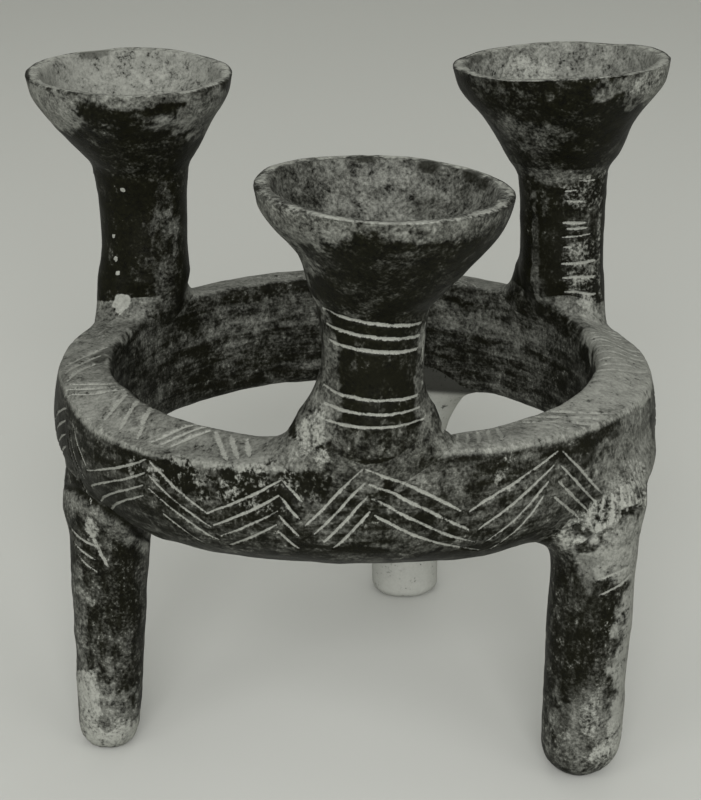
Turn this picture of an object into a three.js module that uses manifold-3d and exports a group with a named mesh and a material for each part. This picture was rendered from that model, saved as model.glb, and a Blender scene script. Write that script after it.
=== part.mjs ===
// Three-legged ring vessel with three stemmed bowls, hand built in clay.
// Millimetres, +Z up. It is laid out about the ring's upright axis with the floor at z = 0, and
// moved at the end so that the origin is the middle of its footprint.
import * as THREE from 'three';
import { mergeVertices } from 'three/addons/utils/BufferGeometryUtils.js';
import Module from 'manifold-3d';

const wasm = await Module();
wasm.setup();

// Clearance between pieces that are luted together
const luting = 0.3;

// Ring
const ringRadius = 115.5;
const ringWidth = 23.5;
const ringBottom = 101.4;
const ringTop = 147.8;
const innerWall = 5;
const outerWall = 6;
const floorThickness = 5;
const coverThickness = 5.3;
const tongueDepth = 2.5;

// Ring section, as shares of its width (0 inside, 1 outside) and of its height, anticlockwise
const ringSection = [
  [0, 0.918], [0, 0.12], [0.05, 0.04], [0.153, 0], [0.29, 0.017], [0.477, 0.078], [0.702, 0.164],
  [0.872, 0.272], [0.974, 0.4], [1, 0.53], [0.98, 0.68], [0.894, 0.931], [0.81, 0.953],
  [0.149, 1], [0.04, 0.98],
];
// Channel inside the ring, the same way: upright walls and a floor that rises outwards
const channelSection = [
  [0, 1], [0, 0.2], [0.1, 0.06], [0.3, 0.04], [0.55, 0.12], [0.8, 0.26], [1, 0.46], [1, 1],
];

// Stems: hollow columns that stand over the ring, with a flared foot smoothed onto it
const stemBore = 6;
const stemThroat = 3;
const stemFloor = 6;
const spigotRadius = 4.6;
const spigotLength = 4;
const stemShoulder = 14;
const stemSkirt = 40;
const stemSpread = 34;
const stemShift = 2;
const stemFillet = 20;
const stemInnerFillet = 5;
const neckFlare = 32;
const stems = [
  { name: 'front', angle: -86.5, radius: 17, neck: 19, top: 200, lean: [1, -1], spread: 4 },
  { name: 'left', angle: 145, radius: 17.3, neck: 19.5, top: 205, lean: [-1.5, 0], spread: 1.5 },
  { name: 'right', angle: 36, radius: 16.8, neck: 17.8, top: 202, lean: [-1, 0], spread: 1.5 },
];

// Bowls, one on each stem: rim radius, height above the neck, slope of the rim and shift on the stem
const bowlWall = 5;
const lipRounding = 1.2;
const bowlFloor = 8;
const bowlDrain = 3.6;
const bossRadius = 9;
const bossLength = 8;
const bowls = [
  { name: 'front', rim: 43, height: 41, slope: [-0.038, -0.009], shift: [2, -1] },
  { name: 'left', rim: 41, height: 38, slope: [-0.0155, 0.005], shift: [-3.5, 0] },
  { name: 'right', rim: 43, height: 45, slope: [0.041, -0.036], shift: [0, 0] },
];
// Outside of a bowl from neck to rim and of its height, and its hollow from the drain to the lip
const bowlCurve = [[0, 0], [0.21, 0.195], [0.57, 0.51], [0.89, 0.78], [1, 1]];
const bowlHollow = [[0.32, 0.03], [0.56, 0.2], [0.74, 0.45], [0.92, 0.72], [1, 1]];

// Legs: solid rolls of clay with a rounded foot and a tenon through the ring's floor. Foot and top
// stand this far outwards from the middle of the channel.
const tenonRadius = 4.6;
const tenonRise = 5;
const legShoulder = 9;
const legSkirt = 36;
const legInnerFillet = 7;
const legs = [
  {
    name: 'left', angle: -158, footOut: 0.5, topOut: -4.5,
    footRadius: 11.5, topRadius: 15.8, flat: 5, rounding: 10, fillet: 14,
  },
  {
    name: 'right', angle: -34.5, footOut: 0.1, topOut: 4.1,
    footRadius: 14.8, topRadius: 16, flat: 5, rounding: 13, fillet: 26,
  },
  {
    name: 'rear', angle: 78.7, footOut: -1.4, topOut: 0.6,
    footRadius: 14.4, topRadius: 14.8, flat: 10.5, rounding: 4, fillet: 16,
  },
];

// A column thins away inside the ring it is smoothed onto: how far, how suddenly, and how deep its
// fillet's edge dips below the ring's surface
const skirtSink = 0.9;
const skirtCurve = 1.3;
const skirtEdge = 1;

// Colours of the smoked, burnished clay and of the worn, unsmoked clay
const burnishedColour = 0x2c2a25;
const wornColour = 0x8d8b7c;

// Fineness of the curved faces
const ringSides = 64;
const columnSides = 30;
const bowlSides = 32;
const boreSides = 20;
const stemRows = 10;
const legRows = 5;
const rowCrowding = 1.6;
const rayStep = 0.5;
const skirtPitches = [6, 13, 19, 24, 29, 34, 41, 50, 60, 70];

// Corners nearer than this are one corner, and how far a cut or a joined piece runs past its face
const weldDistance = 1e-4;
const overrun = 1;

const ringInside = ringRadius - ringWidth;
const ringHeight = ringTop - ringBottom;
const seam = ringTop - coverThickness;
const channelInside = ringInside + innerWall;
const channelOutside = ringRadius - outerWall;
const channelMiddle = (channelInside + channelOutside) / 2;
const channelBottom = ringBottom + floorThickness;

const onRing = (angle, radius) => {
  const turn = THREE.MathUtils.degToRad(angle);
  return [radius * Math.cos(turn), radius * Math.sin(turn)];
};

const mix = (a, b, t) => a + (b - a) * t;
const share = (value, from, to) => THREE.MathUtils.clamp((value - from) / (to - from), 0, 1);

// A section's points at their real place: inner and outer radius, bottom and top
function placed(section, inside, outside, bottom, top) {
  return section.map(([u, v]) => [inside + u * (outside - inside), bottom + v * (top - bottom)]);
}

// Moves each edge of an anticlockwise outline outwards by a distance
function grown(outline, distance) {
  const count = outline.length;
  return outline.map((point, i) => {
    const before = outline[(i + count - 1) % count];
    const after = outline[(i + 1) % count];
    const first = new THREE.Vector2(point[0] - before[0], point[1] - before[1]).normalize();
    const second = new THREE.Vector2(after[0] - point[0], after[1] - point[1]).normalize();
    const stretch = distance / (1 + first.dot(second));
    return [
      point[0] + stretch * (first.y + second.y),
      point[1] - stretch * (first.x + second.x),
    ];
  });
}

// A closed geometry as a solid for joining and cutting
function solidOf(geometry) {
  const bare = geometry.clone();
  bare.deleteAttribute('normal');
  bare.deleteAttribute('uv');
  const merged = mergeVertices(bare, weldDistance);
  return new wasm.Manifold(new wasm.Mesh({
    numProp: 3,
    vertProperties: new Float32Array(merged.attributes.position.array),
    triVerts: new Uint32Array(merged.index.array),
  }));
}

function geometryOf(solid) {
  const mesh = solid.getMesh();
  const geometry = new THREE.BufferGeometry();
  geometry.setAttribute('position', new THREE.BufferAttribute(mesh.vertProperties, 3));
  geometry.setIndex(new THREE.BufferAttribute(mesh.triVerts, 1));
  return geometry;
}

// A closed outline of (radius, height) turned about the upright axis
function turned(outline, sides) {
  const points = outline.map(([radius, height]) => new THREE.Vector2(radius, height));
  points.push(points[0].clone());
  return solidOf(new THREE.LatheGeometry(points, sides).rotateX(Math.PI / 2));
}

const band = (inside, outside, bottom, top) => [
  [inside, bottom], [outside, bottom], [outside, top], [inside, top],
];

// An upright cylinder
function rod([x, y], radius, bottom, top) {
  const shape = new THREE.CylinderGeometry(radius, radius, top - bottom, boreSides).rotateX(Math.PI / 2);
  return solidOf(shape.translate(x, y, (bottom + top) / 2));
}

const ringOutline = placed(ringSection, ringInside, ringRadius, ringBottom, ringTop);

// Distance of a place from the ring's axis, measured the way the ring's flat sides lie
function sidedRadius(x, y) {
  const side = (2 * Math.PI) / ringSides;
  const turn = Math.atan2(y, x) / side;
  const offMiddle = (turn - Math.floor(turn) - 0.5) * side;
  return (Math.hypot(x, y) * Math.cos(offMiddle)) / Math.cos(side / 2);
}

// Distance from a point (radius, height) to the ring's section, negative inside
function ringDistance(radius, height) {
  let nearest = Infinity;
  let inside = true;
  ringOutline.forEach((start, i) => {
    const end = ringOutline[(i + 1) % ringOutline.length];
    const along = [end[0] - start[0], end[1] - start[1]];
    const away = [radius - start[0], height - start[1]];
    const share = (away[0] * along[0] + away[1] * along[1]) / (along[0] ** 2 + along[1] ** 2);
    const t = THREE.MathUtils.clamp(share, 0, 1);
    nearest = Math.min(nearest, Math.hypot(away[0] - t * along[0], away[1] - t * along[1]));
    if (along[0] * away[1] - along[1] * away[0] < 0) inside = false;
  });
  return inside ? -nearest : nearest;
}

// Two distances joined by a fillet, as smoothed clay joins two rolls
function filleted(first, second, fillet) {
  const blend = Math.max(fillet - Math.abs(first - second), 0) / fillet;
  return Math.min(first, second) - (blend * blend * fillet) / 4;
}

// What is left of a column's thickness and fillet at a share of its skirt
const skirtThinning = (depth) => 1 - skirtSink * depth ** skirtCurve;

// How far a direction looks away from the ring's axis: 0 inwards, 1 sideways and outwards
function outwardShare({ angle }, turn) {
  return Math.min(1, 1 + Math.cos(THREE.MathUtils.degToRad(angle) - turn));
}

// How far a column reaches along one ray from its own axis, with its fillet on the ring.
// A ray has a direction about the axis and a pitch, and starts at a height.
function reach(column, start, turn, pitch) {
  const slope = Math.tan(pitch);
  const spread = column.at(start).radius + column.fillet;
  const limit = Math.min(spread, column.skirt / Math.max(Math.abs(slope), column.skirt / spread));
  for (let distance = rayStep; distance < limit; distance += rayStep) {
    const height = start + distance * slope;
    const { centre, radius, fillet } = column.at(height, turn);
    const from = column.at(start).centre;
    const x = from[0] + distance * Math.cos(turn);
    const y = from[1] + distance * Math.sin(turn);
    const shell = Math.hypot(x - centre[0], y - centre[1]) - radius;
    const edge = skirtEdge * share(shell, fillet / 2, fillet);
    const gap = filleted(shell, ringDistance(sidedRadius(x, y), height), fillet) + edge;
    if (gap > 0) return Math.max(distance - gap * Math.cos(pitch), rayStep);
  }
  return limit;
}

// The closed skin of a column: a list of rows, each a start height and a pitch, from end to end
function columnSolid(column, rowList, endHeights) {
  const positions = [];
  const indices = [];
  rowList.forEach(([start, pitch]) => {
    const { centre } = column.at(start);
    for (let i = 0; i < columnSides; i += 1) {
      const turn = (i / columnSides) * 2 * Math.PI;
      const distance = reach(column, start, turn, pitch);
      const height = start + distance * Math.tan(pitch);
      positions.push(centre[0] + distance * Math.cos(turn), centre[1] + distance * Math.sin(turn), height);
    }
  });
  for (let row = 0; row + 1 < rowList.length; row += 1) {
    for (let i = 0; i < columnSides; i += 1) {
      const a = row * columnSides + i;
      const b = row * columnSides + ((i + 1) % columnSides);
      indices.push(a, b, b + columnSides, a, b + columnSides, a + columnSides);
    }
  }
  const last = (rowList.length - 1) * columnSides;
  const ends = endHeights.map((height) => {
    positions.push(...column.at(height).centre, height);
    return positions.length / 3 - 1;
  });
  for (let i = 0; i < columnSides; i += 1) {
    const next = (i + 1) % columnSides;
    indices.push(ends[0], next, i, ends[1], last + i, last + next);
  }
  const geometry = new THREE.BufferGeometry();
  geometry.setAttribute('position', new THREE.Float32BufferAttribute(positions, 3));
  geometry.setIndex(indices);
  return solidOf(geometry);
}

// Level rows between two heights, closer together towards the first
function levelRows(from, to, count) {
  return Array.from({ length: count }, (_, i) => [from + (to - from) * (i / (count - 1)) ** rowCrowding, 0]);
}

// Rows that fan out from one height, upwards or downwards
function fanRows(start, sign) {
  return skirtPitches.map((degrees) => [start, sign * THREE.MathUtils.degToRad(degrees)]);
}

const ringBody = turned(ringOutline, ringSides);
const ringClear = turned(grown(ringOutline, luting), ringSides);

// Lower part of the ring: its channel is open at the top, and its floor takes the three tenons
function ringTrough() {
  const channel = placed(channelSection, channelInside, channelOutside, channelBottom, seam);
  const above = band(ringInside - ringWidth, ringRadius + ringWidth, seam, ringTop + ringHeight);
  let trough = ringBody.subtract(turned(channel, ringSides)).subtract(turned(above, ringSides));
  legs.forEach(({ angle }) => {
    const place = onRing(angle, channelMiddle);
    const hole = rod(place, tenonRadius + luting, ringBottom - overrun, channelBottom + tenonRise);
    trough = trough.subtract(hole);
  });
  return trough;
}

// Strip that closes the ring, with a tongue into the channel and a hole under each stem
function ringCover() {
  const below = band(ringInside - ringWidth, ringRadius + ringWidth, 0, seam + luting);
  const tongue = band(channelInside + luting, channelOutside - luting, seam - tongueDepth, seam + overrun);
  let cover = ringBody.subtract(turned(below, ringSides)).add(turned(tongue, ringSides));
  stems.forEach(({ angle }) => {
    const place = onRing(angle, channelMiddle);
    const hole = rod(place, spigotRadius + luting, seam - ringHeight, ringTop + overrun);
    cover = cover.subtract(hole);
  });
  return cover;
}

// Where a bowl stands: its frame has its origin on the stem's top and follows the rim's slope
function bowlFrame(stem, bowl) {
  const [x, y] = onRing(stem.angle, channelMiddle);
  const up = new THREE.Vector3(-bowl.slope[0], -bowl.slope[1], 1).normalize();
  const turn = new THREE.Quaternion().setFromUnitVectors(new THREE.Vector3(0, 0, 1), up);
  const place = [x + stem.lean[0] + bowl.shift[0], y + stem.lean[1] + bowl.shift[1], stem.top];
  return new THREE.Matrix4().compose(new THREE.Vector3(...place), turn, new THREE.Vector3(1, 1, 1));
}

// A stem: column over the ring with a fillet all round, bored through, socketed for the bowl's boss
function stemPiece(stem, bowl) {
  const centre = onRing(stem.angle, channelMiddle);
  const outward = onRing(stem.angle, 1);
  const shoulder = ringTop + stemShoulder;
  const lowest = shoulder - stemSkirt;
  const highest = stem.top + stemShoulder;
  const column = {
    skirt: stemSkirt,
    fillet: stemFillet,
    at(height, turn = 0) {
      const lift = share(height, ringTop, stem.top);
      const sunk = 1 - share(height, lowest, shoulder);
      const flare = share(height, stem.top - neckFlare, stem.top) ** 2;
      const foot = stem.spread * (1 - share(height, ringTop, ringTop + stemSpread)) ** 2;
      return {
        centre: [0, 1].map((i) => centre[i] + stem.lean[i] * lift + stemShift * sunk * outward[i]),
        radius: (mix(stem.radius, stem.neck, flare) + foot) * skirtThinning(sunk),
        fillet: mix(stemInnerFillet, stemFillet, outwardShare(stem, turn)) * skirtThinning(sunk),
      };
    },
  };
  const rowList = [...fanRows(shoulder, -1).reverse(), ...levelRows(shoulder, highest, stemRows)];
  const frame = bowlFrame(stem, bowl).elements;
  const boss = rod([0, 0], bossRadius + luting, -bossLength - luting, stemSkirt).transform(frame);
  const above = rod([0, 0], 2 * bowl.rim, -luting, stemSkirt).transform(frame);
  const floor = ringTop + stemFloor;
  return columnSolid(column, rowList, [lowest, highest])
    .subtract(ringClear)
    .add(rod(centre, spigotRadius, seam - spigotLength, floor))
    .subtract(rod(centre, stemBore, floor, highest))
    .subtract(rod(centre, stemThroat, seam - spigotLength - overrun, highest))
    .subtract(boss)
    .subtract(above);
}

// An open bowl in its own frame: the neck at z = 0, a boss below it and a drain through the boss
function bowlPiece(stem, bowl) {
  const side = bowl.height - lipRounding;
  const outside = bowlCurve.map(([u, v]) => [mix(stem.neck, bowl.rim, u), v * side]);
  const hollow = bowlHollow.map(([u, v]) => [u * (bowl.rim - bowlWall), mix(bowlFloor, side, v)]);
  const outline = [
    [bowlDrain, -bossLength], [bossRadius, -bossLength], [bossRadius, 0],
    ...outside,
    [bowl.rim - lipRounding, bowl.height], [bowl.rim - bowlWall + lipRounding, bowl.height],
    ...hollow.reverse(),
    [bowlDrain, bowlFloor],
  ];
  return turned(outline, bowlSides);
}

// A leg: solid roll of clay, rounded at the foot, flared onto the ring, with a tenon through its floor
function legPiece(leg) {
  const shoulder = ringBottom - legShoulder;
  const highest = shoulder + legSkirt;
  const column = {
    skirt: legSkirt,
    fillet: leg.fillet,
    at(height, turn = 0) {
      const lift = share(height, 0, ringBottom);
      const raised = share(height, ringBottom, highest);
      const thick = mix(leg.footRadius, leg.topRadius, lift) * skirtThinning(raised);
      const rest = 1 - share(height, 0, leg.rounding);
      return {
        centre: onRing(leg.angle, channelMiddle + mix(leg.footOut, leg.topOut, lift)),
        radius: mix(leg.flat, thick, Math.sqrt(1 - rest * rest)),
        fillet: mix(legInnerFillet, leg.fillet, outwardShare(leg, turn)) * skirtThinning(raised),
      };
    },
  };
  const rowList = [
    ...levelRows(0, leg.rounding, legRows),
    ...levelRows(shoulder, 2 * leg.rounding, legRows).reverse(),
    ...fanRows(shoulder, 1),
  ];
  const tenon = rod(onRing(leg.angle, channelMiddle), tenonRadius, shoulder, channelBottom + tenonRise);
  return columnSolid(column, rowList, [0, highest]).subtract(ringClear).add(tenon);
}

const burnished = new THREE.MeshStandardMaterial({ color: burnishedColour, roughness: 0.6, metalness: 0 });
const pale = new THREE.MeshStandardMaterial({ color: wornColour, roughness: 0.85, metalness: 0 });

const vessel = new THREE.Group();

function put(name, solid, material) {
  const mesh = new THREE.Mesh(geometryOf(solid), material);
  mesh.name = name;
  vessel.add(mesh);
  return mesh;
}

put('ring_trough', ringTrough(), burnished);
put('ring_cover', ringCover(), burnished);
stems.forEach((stem, i) => {
  put(`${stem.name}_stem`, stemPiece(stem, bowls[i]), burnished);
  const bowl = put(`${stem.name}_bowl`, bowlPiece(stem, bowls[i]), burnished);
  bowl.applyMatrix4(bowlFrame(stem, bowls[i]));
});
legs.forEach((leg) => {
  put(`${leg.name}_leg`, legPiece(leg), leg.name === 'rear' ? pale : burnished);
});

// The origin goes to the middle of the footprint, on the floor
vessel.updateMatrixWorld(true);
const box = new THREE.Box3().setFromObject(vessel, true);
vessel.position.set(-(box.min.x + box.max.x) / 2, -(box.min.y + box.max.y) / 2, -box.min.z);

export default vessel;
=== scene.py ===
import itertools
import math

import bpy
import numpy as np
from bpy.props import FloatProperty, FloatVectorProperty, PointerProperty
from mathutils import Matrix, Vector


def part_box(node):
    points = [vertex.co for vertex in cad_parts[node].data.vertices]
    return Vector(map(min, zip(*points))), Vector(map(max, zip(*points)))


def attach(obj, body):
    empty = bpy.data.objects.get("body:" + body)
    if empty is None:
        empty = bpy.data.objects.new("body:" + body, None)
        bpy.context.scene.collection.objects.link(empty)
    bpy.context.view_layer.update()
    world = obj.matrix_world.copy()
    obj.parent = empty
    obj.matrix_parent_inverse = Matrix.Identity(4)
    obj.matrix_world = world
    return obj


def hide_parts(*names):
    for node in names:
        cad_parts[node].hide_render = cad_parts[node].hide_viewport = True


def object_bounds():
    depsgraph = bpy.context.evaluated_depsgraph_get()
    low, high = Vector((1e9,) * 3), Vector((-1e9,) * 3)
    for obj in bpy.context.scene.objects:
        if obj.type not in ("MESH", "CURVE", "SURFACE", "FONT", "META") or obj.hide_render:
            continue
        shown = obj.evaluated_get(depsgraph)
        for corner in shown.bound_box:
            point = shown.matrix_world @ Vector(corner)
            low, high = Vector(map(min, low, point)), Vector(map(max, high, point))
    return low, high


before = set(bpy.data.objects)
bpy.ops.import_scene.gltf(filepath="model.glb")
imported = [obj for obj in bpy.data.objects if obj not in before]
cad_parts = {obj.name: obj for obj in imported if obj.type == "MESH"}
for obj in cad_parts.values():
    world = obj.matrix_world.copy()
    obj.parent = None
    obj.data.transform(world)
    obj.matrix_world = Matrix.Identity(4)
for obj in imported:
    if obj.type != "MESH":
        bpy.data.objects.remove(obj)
MODEL_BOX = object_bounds()

bl_info = {
    "name": "Ring vessel",
    "version": (2, 0, 0),
    "blender": (4, 5, 0),
    "location": "3D View > Sidebar > Ring vessel",
    "description": "Three-legged clay ring vessel with three stemmed bowls",
    "category": "Object",
}

# Lengths in this script are millimetres, laid out about the ring's axis, and angles are degrees
MM = 0.001

# Ring, as the frame has it
TROUGH_LOW, TROUGH_HIGH = (np.array(corner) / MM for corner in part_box("ring_trough"))
COVER_HIGH = np.array(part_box("ring_cover")[1]) / MM
RING_AXIS = (TROUGH_LOW[:2] + TROUGH_HIGH[:2]) / 2
RING_RADIUS = (TROUGH_HIGH[0] - TROUGH_LOW[0]) / 2
RING_BOTTOM = TROUGH_LOW[2]
RING_TOP = COVER_HIGH[2]
SEAM = TROUGH_HIGH[2]
RING_WIDTH = 23.5
INNER_WALL = 5.0
OUTER_WALL = 6.0
FLOOR_THICKNESS = 5.0
TONGUE_DEPTH = 2.5
CLEARANCE = 0.3
# How far the cover's under face stops short of the ring's inside and outside
SEAM_INSETS = (1.0, 4.0)

# Ring section and its channel: shares of the width, from the inside, and of the height
RING_SECTION = [
    (0, 0.918), (0, 0.12), (0.05, 0.04), (0.153, 0), (0.29, 0.017), (0.477, 0.078), (0.702, 0.164),
    (0.872, 0.272), (0.974, 0.4), (1, 0.53), (0.98, 0.68), (0.894, 0.931), (0.81, 0.953),
    (0.149, 1), (0.04, 0.98)]
CHANNEL_SECTION = [
    (1, 1), (1, 0.46), (0.8, 0.26), (0.55, 0.12), (0.3, 0.04), (0.1, 0.06), (0, 0.2), (0, 1)]
RIDGE = (0.894, 0.931)
# Where the outer wall ends and the underside begins
WALL_FOOT = (0.6, 0.13)

# How far the ridge stands above or below its even height, by azimuth
RIDGE_LIFT = [
    (-164, 2), (-150, -3.5), (-130, -4), (-115, -2), (-100, 0), (-86, 4), (-73, 5), (-60, 3),
    (-40, 1), (-18, -1.5), (0, -3), (20, -4), (36, -2), (60, 0), (100, 1), (140, -1), (180, 0)]

# How far the underside stands above or below its even height, by azimuth
BOTTOM_LIFT = [
    (-180, -1.5), (-166, -3), (-143, -3.5), (-128, -1.4), (-110, 0.6), (-92, 2), (-75, 1),
    (-58, -1.5), (-40, -1), (-16, -3), (8, -1), (30, 0), (90, 0)]

# Heights over which each lift sets in and ends, and distances from the axis over which it sets in
RIDGE_LIFTED = ((116, 138), (154, 174))
BOTTOM_LIFTED = ((70, 92), (96, 116))
RIDGE_LIFT_RADIUS = (96, 110)
SWELLING_RADIUS = (98, 108)

# Swellings of the ring's wall: azimuth, height, half length, half height, how far out
SWELLINGS = [(-27, 115, 38, 15, 6.0), (-168, 103, 30, 15, 2.0), (150, 118, 40, 18, -1.2)]

# Stems: hollow columns with a flared foot that saddles the ring. The fillet is its size inwards and
# outwards; a flare is where the clay was smeared wide: direction, half width, fillet and roll added.
STEM_BORE = 6.0
STEM_THROAT = 3.0
STEM_FLOOR = 6.0
SPIGOT_RADIUS = 4.6
SPIGOT_LENGTH = 4.0
STEM_SHOULDER = 14.0
STEM_SKIRT = 40.0
STEM_SPREAD = 34.0
STEM_SHIFT = 2.0
NECK_FLARE = 32.0
NECK_OVERLAP = 2.5
SPIGOT_ROOT = 1.0
SOCKET_RADIUS = 9.3
SOCKET_DEPTH = 8.3
# Heights about its top over which a stem dips under its bowl, and heights over its lowest end over
# which it comes to show
NECK_TUCK = (-0.5, 2.0)
STEM_SHOWN = (3.0, 9.0)
STEMS = {
    "front": dict(angle=-86.5, radius=17.0, neck=19.0, top=200.0, lean=(1, -1), spread=4.0,
                  fillet=(5, 20), flares=((165, 70, 24, 0), (15, 60, 12, 0))),
    "left": dict(angle=145.0, radius=17.3, neck=19.5, top=205.0, lean=(-1.5, 0), spread=1.5,
                 fillet=(5, 20), flares=((-60, 50, 4, 0), (50, 50, 5, 0), (205, 60, 12, 0))),
    "right": dict(angle=36.0, radius=16.8, neck=17.8, top=202.0, lean=(-1, 0), spread=1.5,
                  fillet=(5, 20), flares=((150, 65, 16, 0),)),
}

# Bowls: rim radius, height above the neck, wear in the hollow, slope of the rim and shift on the
# stem. A dent is its direction, level, half width, half height and depth; the wave lifts the rim.
BOWL_WALL = 5.0
BOWL_FLOOR = 8.0
BOWL_DRAIN = 3.6
BOSS_RADIUS = 9.0
BOSS_LENGTH = 8.0
BOSS_ROOT = 3.0
RIM_INSET = 0.45
RIM_SOFTNESS = 30
SHIFT_LEVEL = 0.6
BOWLS = {
    "front": dict(rim=43.0, height=41.0, hollow_wear=0.44, slope=(-0.038, -0.009), shift=(2, -1),
                  dents=((190, 0.45, 70, 0.42, 3.4),),
                  wave=((90, 0), (145, 1.5), (180, 0.8), (215, 0), (270, 0))),
    "left": dict(rim=41.0, height=38.0, hollow_wear=0.98, slope=(-0.0155, 0.005), shift=(-3.5, 0),
                 dents=(), wave=((0, 0), (90, 1.4), (180, 0), (270, 0))),
    "right": dict(rim=43.0, height=45.0, hollow_wear=0.72, slope=(0.041, -0.036), shift=(0, 0),
                  dents=((0, 0.5, 60, 0.35, 2.6), (200, 0.45, 60, 0.35, 1.5)),
                  wave=((0, 0), (180, 0))),
}
# The outside, from the neck's radius to the rim's, and the hollow, from the axis to the lip
BOWL_OUTSIDE = [(0, 0), (0.05, 0.07), (0.21, 0.195), (0.57, 0.51), (0.89, 0.78), (1, 1)]
BOWL_HOLLOW = [(1, 1), (0.92, 0.72), (0.74, 0.45), (0.56, 0.2), (0.32, 0.03)]
# The foot tucks into the neck, the lip is rounded and the drain has an edge: how far in, and height
BOWL_TUCK = [(0.35, -2.5), (0.15, -1)]
LIP = 1.2
LIP_CURVE = [(0.25, 0.5), (LIP, 0.1), (BOWL_WALL - 1.6, 0.35)]
DRAIN_EDGE = (1.0, 0.1)

# Legs: solid rolls of clay with a rounded foot; a leg thickens over a range of its height
TENON_RADIUS = 4.6
TENON_RISE = 5.0
TENON_ROOT = 3.0
LEG_SHOULDER = 9.0
LEG_SKIRT = 36.0
LEG_SHOWN = 6.0
LEG_THICKENS = (0.45, 1.0)
LEGS = {
    "left": dict(angle=-158.0, foot_out=0.5, top_out=-4.5, foot_radius=11.5, top_radius=15.8,
                 flat=5.0, rounding=10.0, fillet=(7, 14), flares=((200, 80, 5, 0),)),
    "right": dict(angle=-34.5, foot_out=0.1, top_out=4.1, foot_radius=14.8, top_radius=16.0,
                  flat=5.0, rounding=13.0, fillet=(7, 20), flares=((190, 50, 4, 0),)),
    "rear": dict(angle=78.7, foot_out=2.6, top_out=0.6, foot_radius=14.4, top_radius=14.8,
                 flat=10.5, rounding=4.0, fillet=(7, 16), flares=((-10, 70, 20, 5),)),
}


def single(line, *look):
    """A group of one incised line."""
    return line, line, 1, *look


# Incised lines. Each group is its first line, its last line, their count, their half width and how
# white they are; a line is its two ends, each an angle and a level. On the ring the level is the way
# down the wall from the ridge, and negative on the top; on stems and legs it is the height.
ZIGZAG = [
    ((-154.8, 5.4, -147.2, 17.3), (-156.8, 15.3, -151.0, 36.5), 3),
    ((-147.0, 19.5, -130.0, 3.0), (-147.5, 28.0, -130.0, 8.0), 2),
    ((-148.0, 36.0, -129.9, 13.0), (-146.5, 39.5, -129.8, 18.0), 2),
    ((-129.0, 3.0, -116.3, 18.8), (-128.6, 13.5, -114.8, 32.0), 3),
    single((-125.5, 24.5, -118.5, 36.0)),
    ((-116.0, 19.3, -102.5, 4.4), (-113.0, 34.7, -103.0, 20.3), 4),
    ((-102.0, 4.4, -98.7, 11.8), (-102.7, 22.9, -99.3, 30.8), 4),
    ((-98.0, 20.3, -88.4, 2.3), (-93.5, 29.8, -87.1, 16.5), 4),
    ((-87.8, 2.3, -71.2, 18.8), (-86.2, 17.8, -66.0, 38.2), 4),
    ((-69.5, 19.3, -51.2, 4.9), (-63.5, 38.7, -54.8, 18.8), 4),
    ((-50.0, 5.4, -40.0, 24.8), (-52.3, 19.8, -44.0, 33.3), 4)]
LINE = 0.48
ZIGZAG_LOOK = (LINE, 1.0)

# Round the back the zigzag goes on evenly, from one azimuth to another
BACK_START, BACK_END, BACK_GROUPS, BACK_GAP = -10.0, 202.0, 16, 0.5
BACK_HIGH, BACK_LOW, BACK_REACH, BACK_LINES = 4.5, 19.0, 15.0, 4
BACK_LOOK = (LINE, 0.9)

TOP_LINES = [
    ((-171.8, -2.5, -183.3, -17.3), (-163.7, -2.1, -172.3, -13.9), 3, 0.7, 1.3),
    ((-161.8, -2.1, -157.0, -19.8), (-159.2, 0.9, -152.3, -19.3), 3, 0.55, 1.15),
    ((-146.0, -5.0, -150.0, -18.0), (-134.8, -5.0, -140.7, -19.3), 3, 1.3, 0.75),
    ((-131.2, -5.5, -125.3, -19.3), (-126.5, -6.0, -120.7, -17.8), 3, 0.65, 1.15),
    ((-119.7, -16.3, -113.0, -3.0), (-112.0, -14.9, -109.3, -6.0), 3, 1.0, 0.85),
    ((-76.0, -5.0, -73.0, -16.0), (-62.0, -4.0, -57.8, -18.8), 7, 0.8, 1.0),
    ((-43.5, -19.3, -34.2, -3.0), (-51.7, -16.8, -41.5, -1.6), 3, 0.65, 1.2),
    single((-50.7, -14.4, -47.2, -2.5), 0.5, 0.8),
    ((8.5, -21.0, 7.0, -1.6), (-15.2, -19.8, -6.5, -2.5), 6, 0.5, 1.0),
    ((22.0, -15.0, 20.0, -2.0), (10.0, -20.0, 12.0, -5.0), 5, 0.5, 0.9),
    ((-43.5, 36.0, -41.5, 27.0), (-30.0, 30.0, -28.0, 20.0), 9, 0.8, 0.6),
    ((58.0, -19.0, 70.0, -3.0), (64.0, -19.0, 76.0, -3.0), 3, 0.6, 0.9),
    ((112.0, -3.0, 100.0, -19.0), (118.0, -3.0, 106.0, -19.0), 3, 0.6, 0.9)]
STEM_LINES = {
    "front": [((-148, 203.0, -30, 197.0), (-146, 191.5, -30, 188.0), 3, 0.62, 1.0),
              ((-162, 173.8, -30, 171.3), (-145, 162.2, -26, 158.8), 3, 0.65, 1.0)],
    "left": [],
    "right": [((-92, 198.8, -76, 199.2), (-92, 194.6, -66, 194.2), 2, 0.5, 0.8),
              single((-72, 202.8, -44, 202.4), 0.5, 0.7),
              ((-93, 185.6, -60, 185.1), (-88, 183.2, -58, 183.0), 2, 0.5, 0.9),
              single((-95, 179.8, -52, 180.2), 0.45, 0.75),
              single((-92, 175.6, -80, 175.6), 0.5, 0.7),
              ((-95, 168.8, -42, 169.4), (-93, 163.2, -44, 163.8), 2, 0.55, 0.95),
              single((-91, 156.9, -44, 157.4), 0.6, 0.95)],
}
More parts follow.
